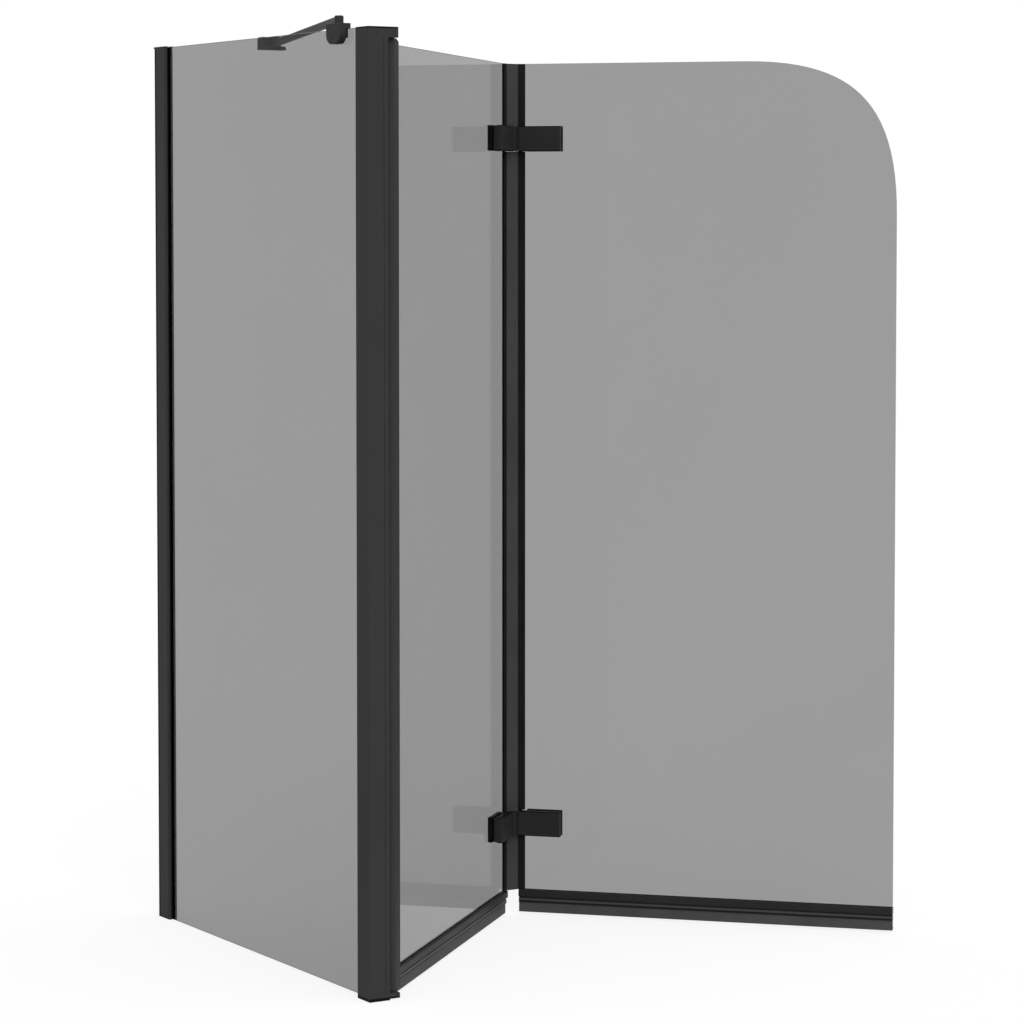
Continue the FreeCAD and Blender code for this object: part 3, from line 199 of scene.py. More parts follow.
def make_edge_wear_and_sheen() -> bpy.types.NodeTree:
    """Makes the group for a rubbed edge: a rounded normal, and a mask of worn coat and painted
    highlight.

    Returns:
        The node group.
    """
    maker = GroupMaker("edge_wear_and_sheen_nodes")
    maker.socket("Radius", "Float", 0.0005)
    maker.socket("Patchiness", "Float", 40.0)
    maker.socket("Normal", "Vector")
    maker.socket("Mask", "Float")
    bevel = maker.node("Bevel", samples=BEVEL_SAMPLES)
    face = maker.node("NewGeometry")
    turn = maker.node("VectorMath", operation="DOT_PRODUCT")
    spread = maker.node("MapRange")
    spread.inputs["From Min"].default_value = EDGE_TURN[0]
    spread.inputs["From Max"].default_value = EDGE_TURN[1]
    place = maker.node("TexCoord")
    patch = maker.node("TexNoise")
    patch.inputs["Detail"].default_value = PATCH_DETAIL
    keep = maker.node("MapRange")
    keep.inputs["From Min"].default_value = PATCH_SPAN[0]
    keep.inputs["From Max"].default_value = PATCH_SPAN[1]
    mask = maker.node("Math", operation="MULTIPLY")
    maker.link(maker.inside.outputs["Radius"], bevel.inputs["Radius"])
    maker.link(bevel.outputs["Normal"], turn.inputs[0])
    maker.link(face.outputs["Normal"], turn.inputs[1])
    maker.link(turn.outputs["Value"], spread.inputs["Value"])
    maker.link(place.outputs["Object"], patch.inputs["Vector"])
    maker.link(maker.inside.outputs["Patchiness"], patch.inputs["Scale"])
    maker.link(patch.outputs["Fac"], keep.inputs["Value"])
    maker.link(spread.outputs["Result"], mask.inputs[0])
    maker.link(keep.outputs["Result"], mask.inputs[1])
    maker.link(bevel.outputs["Normal"], maker.outside.inputs["Normal"])
    maker.link(mask.outputs[0], maker.outside.inputs["Mask"])
    return maker.tree


@dataclass(frozen=True)
class Groups:
    """The node groups that the finishes share."""

    grain: bpy.types.NodeTree
    edges: bpy.types.NodeTree


# Finishes

# Stretches of the cloud's value over which a coat's shade and its roughness change
CLOUD_TONE = (0.35, 0.68)
CLOUD_ROUGH = (0.3, 0.7)


class MaterialMaker:
    """A new material with its Principled BSDF and output, ready to be wired."""

    def __init__(self, name: str) -> None:
        """Starts the material.

        Args:
            name: Name of the material.
        """
        self.material = bpy.data.materials.new(name)
        self.material.use_nodes = True
        self.tree = self.material.node_tree
        self.shader = self.tree.nodes["Principled BSDF"]
        self.output = self.tree.nodes["Material Output"]

    def node(self, kind: str, **settings: object) -> bpy.types.Node:
        """Adds a node to the material.

        Args:
            kind: Node type without its ShaderNode prefix.
            settings: Properties of the node.

        Returns:
            The new node.
        """
        return add_node(self.tree, kind, **settings)

    def group(self, tree: bpy.types.NodeTree, **values: float) -> bpy.types.Node:
        """Places a node group with its own values.

        Args:
            tree: The node group.
            values: Input values, with underscores for spaces.

        Returns:
            The group's node.
        """
        node = self.tree.nodes.new("ShaderNodeGroup")
        node.node_tree = tree
        for key, value in values.items():
            node.inputs[key.replace("_", " ")].default_value = value
        return node

    def link(self, source: bpy.types.NodeSocket, target: bpy.types.NodeSocket) -> None:
        """Joins two sockets.

        Args:
            source: Output that feeds.
            target: Input that is fed.
        """
        self.tree.links.new(source, target)

    def set(self, **values: float) -> None:
        """Sets plain values on the Principled BSDF, with underscores for spaces.

        Args:
            values: Input values.
        """
        for key, value in values.items():
            self.shader.inputs[key.replace("_", " ")].default_value = value

    def blend(
        self, mask: bpy.types.NodeSocket, low: Colour, high: Colour
    ) -> bpy.types.NodeSocket:
        """Mixes two colours by a mask.

        Args:
            mask: Where the high colour shows.
            low: Colour at a mask of zero.
            high: Colour at a mask of one.

        Returns:
            The mixed colour.
        """
        node = self.node("Mix", data_type="RGBA")
        node.inputs[MIX_BASE].default_value = (*low, 1.0)
        node.inputs[MIX_OVER].default_value = (*high, 1.0)
        self.link(mask, node.inputs[MIX_FACTOR])
        return node.outputs[MIX_RESULT]

    def cover(
        self, mask: bpy.types.NodeSocket, ground: bpy.types.NodeSocket, shade: Colour
    ) -> bpy.types.NodeSocket:
        """Lays a plain shade over a colour by a mask.

        Args:
            mask: Where the shade shows.
            ground: Colour below it.
            shade: The shade.

        Returns:
            The mixed colour.
        """
        node = self.node("Mix", data_type="RGBA")
        node.inputs[MIX_OVER].default_value = (*shade, 1.0)
        self.link(mask, node.inputs[MIX_FACTOR])
        self.link(ground, node.inputs[MIX_BASE])
        return node.outputs[MIX_RESULT]

    def spread(
        self, value: bpy.types.NodeSocket, start: float, end: float, low: float, high: float
    ) -> bpy.types.NodeSocket:
        """Maps a value's range to another.

        Args:
            value: The value.
            start: Start of its own range.
            end: End of its own range.
            low: Result at the start.
            high: Result at the end.

        Returns:
            The mapped value.
        """
        node = self.node("MapRange")
        node.inputs["From Min"].default_value = start
        node.inputs["From Max"].default_value = end
        node.inputs["To Min"].default_value = low
        node.inputs["To Max"].default_value = high
        self.link(value, node.inputs["Value"])
        return node.outputs["Result"]


@dataclass(frozen=True)
class PaintedLightBand:
    """A stretch of a piece along one axis, such as a lip or a rim, in painted shade or a painted
    highlight.

    The shade fades in and out inside the stretch.
    """

    low: float
    high: float
    shade: Colour
    axis: str = "Z"
    fade: float = 0.3 * MM


@dataclass(frozen=True)
class CoatFinish:
    """A dull black surface with a fine grain, slow patches, and edges lighter from worn coat and
    a painted highlight.

    The same build serves powder coat, moulded plastic, rubber, soft seal and blackened steel.
    """

    name: str
    dark: Colour
    light: Colour
    # Colour of the edges: worn coat and a painted highlight together
    edge_wear_and_sheen: Colour
    roughness_low: float
    roughness_high: float
    grain_scale: float
    cloud_scale: float
    grain_depth: float
    grain_strength: float
    edge_radius: float
    specular: float = 0.5
    metallic: float = 0.0
    # Bands of painted shade and painted highlight, placed along an axis
    painted_light_bands: tuple[PaintedLightBand, ...] = ()

    def add_painted_light_band(
        self, maker: MaterialMaker, ground: bpy.types.NodeSocket, band: PaintedLightBand
    ) -> bpy.types.NodeSocket:
        """Paints a band's shade or highlight, which stands in for light, over the ground colour.

        Args:
            maker: The material's maker.
            ground: Colour of the rest.
            band: The band.

        Returns:
            The mixed colour.
        """
        place = maker.node("TexCoord")
        split = maker.node("SeparateXYZ")
        maker.link(place.outputs["Object"], split.inputs[0])
        level = split.outputs[band.axis]
        over = maker.spread(level, band.low, band.low + band.fade, 0.0, 1.0)
        under = maker.spread(level, band.high - band.fade, band.high, 1.0, 0.0)
        mask = maker.node("Math", operation="MULTIPLY")
        maker.link(over, mask.inputs[0])
        maker.link(under, mask.inputs[1])
        return maker.cover(mask.outputs[0], ground, band.shade)

    def build(self, groups: Groups) -> bpy.types.Material:
        """Makes the material.

        Args:
            groups: The shared node groups.

        Returns:
            The material.
        """
        maker = MaterialMaker(self.name)
        grain = maker.group(
            groups.grain, Grain_Scale=self.grain_scale, Cloud_Scale=self.cloud_scale
        )
        edges = maker.group(groups.edges, Radius=self.edge_radius)
        tone = maker.spread(grain.outputs["Cloud"], *CLOUD_TONE, 0.0, 1.0)
        ground = maker.blend(tone, self.dark, self.light)
        # Edges turn lighter, partly from worn coat and partly from a painted highlight
        shade = maker.cover(edges.outputs["Mask"], ground, self.edge_wear_and_sheen)
        # Lays the bands of painted shade and painted highlight over the colour
        for band in self.painted_light_bands:
            shade = self.add_painted_light_band(maker, shade, band)
        maker.link(shade, maker.shader.inputs["Base Color"])
        rough = maker.spread(
            grain.outputs["Cloud"], *CLOUD_ROUGH, self.roughness_low, self.roughness_high
        )
        maker.link(rough, maker.shader.inputs["Roughness"])
        bump = maker.node("Bump")
        bump.inputs["Strength"].default_value = self.grain_strength
        bump.inputs["Distance"].default_value = self.grain_depth
        maker.link(grain.outputs["Height"], bump.inputs["Height"])
        maker.link(edges.outputs["Normal"], bump.inputs["Normal"])
        maker.link(bump.outputs["Normal"], maker.shader.inputs["Normal"])
        maker.set(Specular_IOR_Level=self.specular, Metallic=self.metallic)
        return maker.material


@dataclass(frozen=True)
class SmokedGlass:
    """Smoked safety glass: a tint in the pane, ground edges and a tinted shadow.

    The spans are pairs. edge_turn holds how squarely a face lies to the pane, as a cosine, on the
    pane and on its edge, and smear_span the cloud's values between which a smear builds up.
    """

    name: str
    tint: Colour
    tint_far: Colour
    edge_tint: Colour
    across: Vector
    ior: float = 1.14
    grain_scale: float = 60.0
    smear_scale: float = 2.2
    edge_turn: tuple[float, float] = (0.9, 0.5)
    pane_roughness: float = 0.004
    edge_roughness: float = 0.16
    smear_span: tuple[float, float] = (0.45, 0.7)
    smear_roughness: float = 0.012

    def build(self, groups: Groups) -> bpy.types.Material:
        """Makes the material.

        Args:
            groups: The shared node groups.

        Returns:
            The material.
        """
        maker = MaterialMaker(self.name)
        grain = maker.group(
            groups.grain, Grain_Scale=self.grain_scale, Cloud_Scale=self.smear_scale
        )
        tone = maker.spread(grain.outputs["Cloud"], *CLOUD_TONE, 0.0, 1.0)
        pane = maker.blend(tone, self.tint, self.tint_far)
        coords = maker.node("TexCoord")
        facing = maker.node("VectorMath", operation="DOT_PRODUCT")
        facing.inputs[1].default_value = self.across
        maker.link(coords.outputs["Normal"], facing.inputs[0])
        side = maker.node("Math", operation="ABSOLUTE")
        maker.link(facing.outputs["Value"], side.inputs[0])
        edge = maker.spread(side.outputs[0], *self.edge_turn, 0.0, 1.0)
        colour = maker.cover(edge, pane, self.edge_tint)
        maker.link(colour, maker.shader.inputs["Base Color"])
        ground = maker.spread(edge, 0.0, 1.0, self.pane_roughness, self.edge_roughness)
        smear = maker.spread(grain.outputs["Cloud"], *self.smear_span, 0.0, self.smear_roughness)
        rough = maker.node("Math", operation="ADD")
        maker.link(ground, rough.inputs[0])
        maker.link(smear, rough.inputs[1])
        maker.link(rough.outputs[0], maker.shader.inputs["Roughness"])
        maker.set(IOR=self.ior, Transmission_Weight=1.0, Metallic=0.0)
        path = maker.node("LightPath")
        shade = maker.node("BsdfTransparent")
        # Light crosses both faces of the pane, so each takes the root of the tint
        shade.inputs["Color"].default_value = (*(c**0.5 for c in self.tint), 1.0)
        switch = maker.node("MixShader")
        maker.link(path.outputs["Is Shadow Ray"], switch.inputs[0])
        maker.link(maker.shader.outputs[0], switch.inputs[1])
        maker.link(shade.outputs[0], switch.inputs[2])
        maker.link(switch.outputs[0], maker.output.inputs["Surface"])
        return maker.material


POWDER_COAT = CoatFinish(
    name="powder_coated_black",
    dark=(0.0360, 0.0365, 0.0372),
    light=(0.0400, 0.0405, 0.0412),
    edge_wear_and_sheen=(0.052, 0.053, 0.055),
    roughness_low=0.46,
    roughness_high=0.56,
    grain_scale=1500.0,
    cloud_scale=5.0,
    grain_depth=0.00012,
    grain_strength=0.35,
    edge_radius=0.0006,
    specular=0.04,
)
ANODISED = CoatFinish(
    name="anodised_black",
    dark=(0.0215, 0.0220, 0.0226),
    light=(0.0255, 0.0260, 0.0267),
    edge_wear_and_sheen=(0.045, 0.046, 0.048),
    roughness_low=0.36,
    roughness_high=0.46,
    grain_scale=1900.0,
    cloud_scale=9.0,
    grain_depth=0.00008,
    grain_strength=0.25,
    edge_radius=0.0005,
    specular=0.05,
)
SATIN = CoatFinish(
    name="satin_black",
    dark=(0.0235, 0.0240, 0.0242),
    light=(0.0285, 0.0290, 0.0292),
    edge_wear_and_sheen=(0.042, 0.043, 0.044),
    roughness_low=0.38,
    roughness_high=0.48,
    grain_scale=2300.0,
    cloud_scale=14.0,
    grain_depth=0.00010,
    grain_strength=0.4,
    edge_radius=0.0005,
    specular=0.05,
)
STRIP = CoatFinish(
    name="hard_strip",
    dark=(0.0110, 0.0111, 0.0114),
    light=(0.0145, 0.0146, 0.0150),
    edge_wear_and_sheen=(0.020, 0.020, 0.021),
    roughness_low=0.44,
    roughness_high=0.58,
    grain_scale=1700.0,
    cloud_scale=18.0,
    grain_depth=0.00009,
    grain_strength=0.35,
    edge_radius=0.0005,
    specular=0.04,
)
MOULDED = CoatFinish(
    name="moulded_black",
    dark=(0.0240, 0.0244, 0.0250),
    light=(0.0290, 0.0294, 0.0300),
    edge_wear_and_sheen=(0.040, 0.040, 0.041),
    roughness_low=0.46,
    roughness_high=0.60,
    grain_scale=2300.0,
    cloud_scale=14.0,
    grain_depth=0.00010,
    grain_strength=0.45,
    edge_radius=0.0005,
    specular=0.05,
)
RUBBER = CoatFinish(
    name="glazing_rubber",
    dark=(0.0065, 0.0065, 0.0068),
    light=(0.0095, 0.0095, 0.0098),
    edge_wear_and_sheen=(0.015, 0.015, 0.015),
    roughness_low=0.62,
    roughness_high=0.80,
    grain_scale=900.0,
    cloud_scale=20.0,
    grain_depth=0.00010,
    grain_strength=0.5,
    edge_radius=0.0004,
    specular=0.04,
)
SEAL = CoatFinish(
    name="soft_seal",
    dark=(0.047, 0.047, 0.048),
    light=(0.058, 0.058, 0.059),
    edge_wear_and_sheen=(0.070, 0.070, 0.071),
    roughness_low=0.48,
    roughness_high=0.62,
    grain_scale=700.0,
    cloud_scale=12.0,
    grain_depth=0.00012,
    grain_strength=0.35,
    edge_radius=0.0005,
    specular=0.05,
)
WIPER = replace(SEAL, name="wiper_seal", dark=(0.066, 0.066, 0.067), light=(0.080, 0.080, 0.081))
STEEL = CoatFinish(
    name="blackened_steel",
    dark=(0.030, 0.030, 0.032),
    light=(0.055, 0.055, 0.058),
    edge_wear_and_sheen=(0.16, 0.16, 0.165),
    roughness_low=0.28,
    roughness_high=0.42,
    grain_scale=1600.0,
    cloud_scale=60.0,
    grain_depth=0.00006,
    grain_strength=0.4,
    edge_radius=0.0003,
    metallic=1.0,
)
# Painted shade for rims and chamfers that lie in shadow
RIM_PAINTED_SHADE: Colour = (0.006, 0.006, 0.006)
# Painted highlight for a rail's lip that catches the light, and painted shadow along the rail's
# foot below it
LIP_PAINTED_HIGHLIGHT: Colour = (0.060, 0.061, 0.062)
LIP_SHADOW: Colour = (0.012, 0.012, 0.012)
# How much more light the palest patch of a pane lets through
GLASS_SPAN = 1.02
GLASS_EDGE: Colour = (0.16, 0.17, 0.17)


def painted_shade_band(level: float, reach: float, axis: str = "Z") -> PaintedLightBand:
    """A rim of painted shade on both sides of a level, where an edge would lie in shadow.

    Args:
        level: The rim's middle.
        reach: Half of its width.
        axis: Axis that it is measured along.

    Returns:
        The band.
    """
    return PaintedLightBand(level - reach, level + reach, RIM_PAINTED_SHADE, axis)


def glass_for(name: str, angle: float, tint: float) -> SmokedGlass:
    """Smoked glass for a pane that stands at an angle in the plan.

    Args:
        name: Name of the finish.
        angle: Turn of the pane's length from +X, in degrees.
        tint: Share of the light that the pane lets through.

    Returns:
        The finish.
    """
    turn = math.radians(angle + 90.0)
    return SmokedGlass(
        name=name,
        tint=(tint, tint, tint),
        tint_far=(tint * GLASS_SPAN, tint * GLASS_SPAN, tint * GLASS_SPAN),
        edge_tint=GLASS_EDGE,
        across=Vector((math.cos(turn), math.sin(turn), 0.0)),
    )


Finish = CoatFinish | SmokedGlass


class Paintbox:
    """Builds each finish once and paints objects with it."""

    def __init__(self, nodes: dict[str, bpy.types.Object]) -> None:
        """Makes the shared groups.

        Args:
            nodes: The CAD nodes by name.
        """
        self.nodes = nodes
        self.groups = Groups(grain=make_surface_grain(), edges=make_edge_wear_and_sheen())
        self.made: dict[str, bpy.types.Material] = {}

    def material(self, finish: Finish) -> bpy.types.Material:
        """The material of a finish, built on first use.

        Args:
            finish: The finish.

        Returns:
            The material.
        """
        if finish.name not in self.made:
            self.made[finish.name] = finish.build(self.groups)
        return self.made[finish.name]

    def paint(self, names: Iterable[str], finish: Finish) -> None:
        """Gives CAD nodes a finish.

        Args:
            names: Names of the nodes.
            finish: The finish.
        """
        for name in names:
            node = self.nodes[name]
            if not node.material_slots:
                node.data.materials.append(None)
            for slot in node.material_slots:
                slot.link = "OBJECT"
                slot.material = self.material(finish)
            LOG.info("%s wears %s", name, finish.name)


# Mesh helpers


def make_piece(
    bm: bmesh.types.BMesh, name: str, material: bpy.types.Material, sharp: float = 32.0
) -> bpy.types.Object:
    """Turns a bmesh into an object with smooth faces and sharp corners.

    Args:
        bm: The mesh, which is freed.
        name: Name of the object.
        material: Its material.
        sharp: Angle from which an edge stays sharp, in degrees.

    Returns:
        The object, at the origin.
    """
    bmesh.ops.recalc_face_normals(bm, faces=bm.faces)
    limit = math.radians(sharp)
    for face in bm.faces:
        face.smooth = True
    for edge in bm.edges:
        edge.smooth = edge.calc_face_angle(0.0) < limit
    mesh = bpy.data.meshes.new(name)
    bm.to_mesh(mesh)
    bm.free()
    mesh.materials.append(material)
    piece = bpy.data.objects.new(name, mesh)
    bpy.context.scene.collection.objects.link(piece)
    return piece


def boundary(bm: bmesh.types.BMesh) -> list[bmesh.types.BMEdge]:
    """The open edges of a mesh.

    Args:
        bm: The mesh.

    Returns:
        The edges that only one face uses.
    """
    return [edge for edge in bm.edges if edge.is_boundary]


def points_of(made: dict) -> list[bmesh.types.BMVert]:
    """The points among what a bmesh operator made.

    Args:
        made: The operator's result.

    Returns:
        The points.
    """
    return [item for item in made["geom"] if isinstance(item, bmesh.types.BMVert)]


def step_in(bm: bmesh.types.BMesh, move: Callable[[Vector], Vector]) -> None:
    """Extrudes the open rim of a mesh and moves the new rim.

    Args:
        bm: The mesh.
        move: Gives a rim point's new place.
    """
    for vert in points_of(bmesh.ops.extrude_edge_only(bm, edges=boundary(bm))):
        vert.co = move(vert.co)


@dataclass(frozen=True)
class Screw:
    """A screw along +Z: its head's top lies at zero and its tip points down.

    The shares are of a width: tip_share is the tip's of the shank, mouth_share is how far the
    head's crown runs in to the recess, slot_share is half a cross slot's, and taper is the
    recess's floor to its mouth. A screw without a head has no thread.
    """

    head_radius: float
    head_height: float
    shank_radius: float
    length: float
    recess: Recess
    recess_width: float
    recess_depth: float
    dome: float = 0.0
    rim: float = 0.0003
    pitch: float = 0.0009
    thread_depth: float = 0.00022
    tip_share: float = 0.5
    mouth_share: float = 0.62
    slot_share: float = 0.13
    taper: float = 0.94
    steps: int = 48
    dome_steps: int = 4

    def outline(self) -> list[tuple[float, float]]:
        """The turned outline from the tip up to the edge of the recess.

        Returns:
            Radius and height of each point.
        """
        under = -self.head_height
        points = [(0.0, -self.length), (self.shank_radius * self.tip_share, -self.length)]
        level = -self.length + self.pitch
        crest = self.shank_radius
        root = self.shank_radius - self.thread_depth
        while level < under - self.pitch and self.head_height > 0.0:
            points += [(root, level), (crest, level + self.pitch / 2)]
            level += self.pitch
        points.append((crest, under))
        if self.head_radius > self.shank_radius:
            points.append((self.head_radius - self.rim, under))
            points.append((self.head_radius, under + self.rim))
        drop = -self.dome
        points.append((self.head_radius, drop - self.rim))
        points.append((self.head_radius - self.rim, drop))
        mouth = self.recess_width * self.mouth_share
        for step in range(1, self.dome_steps + 1):
            share = step / self.dome_steps
            radius = self.head_radius - self.rim + (mouth - self.head_radius + self.rim) * share
            points.append((radius, drop + self.dome * math.sin(share * math.pi / 2)))
        return points

    def mouth_radius(self, angle: float) -> float:
        """Distance from the axis to the recess's wall.

        Args:
            angle: Direction from the axis, in radians.

        Returns:
            The distance.
        """
        if self.recess is Recess.HEX:
            off = (angle + math.pi / 6) % (math.pi / 3) - math.pi / 6
            return self.recess_width / 2 / math.cos(off)
        off = abs((angle + math.pi / 4) % (math.pi / 2) - math.pi / 4)
        arm, half = self.recess_width / 2, self.recess_width * self.slot_share
        along = arm / max(math.cos(off), TINY)
        return along if math.tan(off) * arm < half else half / math.sin(off)

    def build(self, bm: bmesh.types.BMesh, place: Vector, axis: Vector) -> None:
        """Adds the screw to a mesh.

        Args:
            bm: The mesh.
            place: Centre of the head's top.
            axis: Direction from the tip to the head.
        """
        own = bmesh.new()
        points = [own.verts.new((radius, 0.0, height)) for radius, height in self.outline()]
        chain = [own.edges.new(pair) for pair in zip(points, points[1:])]
        bmesh.ops.spin(
            own,
            geom=points + chain,
            cent=(0.0, 0.0, 0.0),
            axis=(0.0, 0.0, 1.0),
            angle=math.tau,
            steps=self.steps,
            use_merge=True,
        )
        bmesh.ops.remove_doubles(own, verts=own.verts, dist=TINY)

        def to_mouth(point: Vector) -> Vector:
            """Moves a point of the rim to the recess's wall."""
            angle = math.atan2(point.y, point.x)
            radius = self.mouth_radius(angle)
            return Vector((radius * math.cos(angle), radius * math.sin(angle), point.z))

        def to_floor(point: Vector) -> Vector:
            """Moves a point of the mouth to the recess's floor."""
            return Vector((point.x * self.taper, point.y * self.taper, -self.recess_depth))

        step_in(own, to_mouth)
        step_in(own, to_floor)
        bmesh.ops.holes_fill(own, edges=boundary(own))
        turn = axis.to_track_quat("Z", "Y").to_matrix().to_4x4()
        bmesh.ops.transform(own, matrix=Matrix.Translation(place) @ turn, verts=own.verts)
        spare = bpy.data.meshes.new("spare")
        own.to_mesh(spare)
        own.free()
        bm.from_mesh(spare)
        bpy.data.meshes.remove(spare)


def make_screws(
    box: Paintbox, name: str, screw: Screw, places: Iterable[tuple[Vector, Vector]], body: str
) -> None:
    """Makes a set of screws that stands for a CAD node.

    Args:
        box: The paintbox.
        name: Name of the CAD node.
        screw: The screw.
        places: Each screw's head top and the way it points.
        body: Body that the screws ride on.
    """
    bm = bmesh.new()
    for place, axis in places:
        screw.build(bm, place, axis)
    piece = make_piece(bm, f"{name}_fine", box.material(STEEL))
    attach(piece, body)
    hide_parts(name)
    LOG.info("%s made in place of %s", piece.name, name)


# Sub-assemblies


@dataclass
class WallSide:
    """The wall channel, its glass profile with cap and gasket, and the lock screws."""

    box: Paintbox
    lock_screw: Screw = Screw(
        head_radius=3.2 * MM,
        head_height=1.8 * MM,
        shank_radius=1.45 * MM,
        length=6.8 * MM,
        recess=Recess.CROSS,
        recess_width=3.6 * MM,
        recess_depth=1.2 * MM,
        dome=0.7 * MM,
    )
    lock_count: int = 3
    back_painted_shade: float = 5.5 * MM

    def build(self) -> None:
        """Dresses the nodes and makes the lock screws."""
        self.box.paint(["wall_profile_cap"], POWDER_COAT)
        # Painted shade along the profile's back, where it stands off the wall in shadow
        rim = painted_shade_band(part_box("wall_glass_profile")[1].y, self.back_painted_shade, axis="Y")
        finish = replace(POWDER_COAT, name="wall_profile_with_painted_shade", painted_light_bands=(rim,))
        self.box.paint(["wall_glass_profile"], finish)
        self.box.paint(["wall_channel"], STRIP)
        self.box.paint(["wall_gasket"], RUBBER)
        low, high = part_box("wall_profile_lock_screws")
        centre_y = (low.y + high.y) / 2
        reach = (high.y - low.y) / 2
        bottom, top = low.z + reach, high.z - reach
        out = Vector((1.0, 0.0, 0.0))
        places = []
        for index in range(self.lock_count):
            level = bottom + (top - bottom) * index / (self.lock_count - 1)
            places.append((Vector((high.x, centre_y, level)), out))
        make_screws(self.box, "wall_profile_lock_screws", self.lock_screw, places, "root")


@dataclass
class CornerPost:
    """The square post with its caps, seal and pins."""

    box: Paintbox
    cap_screw: Screw = Screw(
        head_radius=3.0 * MM,
        head_height=1.8 * MM,
        shank_radius=1.35 * MM,
        length=26.0 * MM,
        recess=Recess.CROSS,
        recess_width=3.4 * MM,
        recess_depth=1.2 * MM,
    )
    top_painted_shade: float = 2.4 * MM
    foot_painted_shade: float = 4.6 * MM

    def build(self) -> None:
        """Dresses the nodes and makes the cap screws."""
        self.box.paint(["corner_post"], POWDER_COAT)
        # Painted shade on the top cap's upper edge, where its chamfer lies in shadow
        rim = painted_shade_band(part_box("post_top_cap")[1].z, self.top_painted_shade)
        finish = replace(POWDER_COAT, name="top_cap_with_painted_shade", painted_light_bands=(rim,))
        self.box.paint(["post_top_cap"], finish)
        # Painted shade on the foot cap's lower edge, where its chamfer lies in shadow
        rim = painted_shade_band(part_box("post_bottom_cap")[0].z, self.foot_painted_shade)
        finish = replace(POWDER_COAT, name="bottom_cap_with_painted_shade", painted_light_bands=(rim,))
        self.box.paint(["post_bottom_cap"], finish)
        self.box.paint(["post_gasket"], RUBBER)
        self.box.paint(["pivot_seal"], SEAL)
        self.box.paint(["pivot_pins"], STEEL)
        low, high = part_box("post_cap_screws")
        radius = self.cap_screw.head_radius
        centre_y = (low.y + high.y) / 2
        places = []
        for x in (low.x + radius, high.x - radius):
            places.append((Vector((x, centre_y, high.z)), Vector((0.0, 0.0, 1.0))))
            places.append((Vector((x, centre_y, low.z)), Vector((0.0, 0.0, -1.0))))
        make_screws(self.box, "post_cap_screws", self.cap_screw, places, "root")


@dataclass
class SupportArm:
    """The bar along the top with its clamp on the side pane and its wall bracket."""

    box: Paintbox
    grub: Screw = Screw(
        head_radius=2.5 * MM,
        head_height=0.0,
        shank_radius=2.5 * MM,
        length=10.0 * MM,
        recess=Recess.HEX,
        recess_width=2.5 * MM,
        recess_depth=2.6 * MM,
    )
    clamp_swivel: Screw = Screw(
        head_radius=4.2 * MM,
        head_height=2.0 * MM,
        shank_radius=2.5 * MM,
        length=15.2 * MM,
        recess=Recess.HEX,
        recess_width=3.0 * MM,
        recess_depth=1.5 * MM,
        dome=0.5 * MM,
    )
    wall_swivel: Screw = Screw(
        head_radius=7.0 * MM,
        head_height=2.0 * MM,
        shank_radius=2.5 * MM,
        length=20.6 * MM,
        recess=Recess.HEX,
        recess_width=3.5 * MM,
        recess_depth=1.5 * MM,
        dome=1.1 * MM,
    )

    def build(self) -> None:
        """Dresses the nodes and makes the three screws."""
        self.box.paint(["arm_glass_clamp", "arm_bar", "arm_wall_bracket"], POWDER_COAT)
        self.box.paint(["arm_clamp_pads"], RUBBER)
        low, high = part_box("arm_clamp_screw")
        middle = (low + high) / 2
        outer = Vector((low.x, middle.y, middle.z))
        make_screws(self.box, "arm_clamp_screw", self.grub, [(outer, Vector((-1, 0, 0)))], "root")
        for name, screw in (
            ("arm_clamp_swivel_screw", self.clamp_swivel),
            ("arm_wall_swivel_screw", self.wall_swivel),
        ):
            low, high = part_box(name)
            middle = (low + high) / 2
            top = Vector((middle.x, middle.y, high.z))
            make_screws(self.box, name, screw, [(top, Vector((0, 0, 1)))], "root")


@dataclass
class Door:
    """A door pane with its rail, wiper, edge strip and hidden hinge hardware."""

    box: Paintbox
    body: str
    angle: float
    tint: float
    lip_shadow: float = 2.8 * MM
    lip_height: float = 6.2 * MM

    def build(self) -> None:
        """Dresses the door's nodes."""
        glass = glass_for(f"{self.body}_smoked_glass", self.angle, self.tint)
        self.box.paint([f"{self.body}_glass"], glass)
        rail = f"{self.body}_bottom_rail"
        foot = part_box(rail)[0].z
        middle = foot + self.lip_shadow
        # Painted shadow along the rail's foot above the wiper, and a painted highlight on the lip
        # above that
        shadow = PaintedLightBand(foot - self.lip_shadow, middle, LIP_SHADOW)
        lip = PaintedLightBand(middle, foot + self.lip_height, LIP_PAINTED_HIGHLIGHT)
        finish = replace(ANODISED, name=f"{self.body}_anodised_black", painted_light_bands=(shadow, lip))
        self.box.paint([rail], finish)
        self.box.paint([f"{self.body}_wiper"], WIPER)
        self.box.paint([f"{self.body}_edge_strip"], STRIP)
        self.box.paint([f"{self.body}_hinge_screws"], STEEL)
        self.box.paint([f"{self.body}_glass_sleeves", f"{self.body}_hinge_pads"], RUBBER)


@dataclass
class PivotSide:
    """The first door's profile at the post, with its gasket and bushes."""

    box: Paintbox

    def build(self) -> None:
        """Dresses the nodes."""
        self.box.paint(["door_1_profile"], POWDER_COAT)
        self.box.paint(["door_1_gasket"], RUBBER)
        self.box.paint(["top_pivot_bush", "bottom_pivot_bush"], MOULDED)


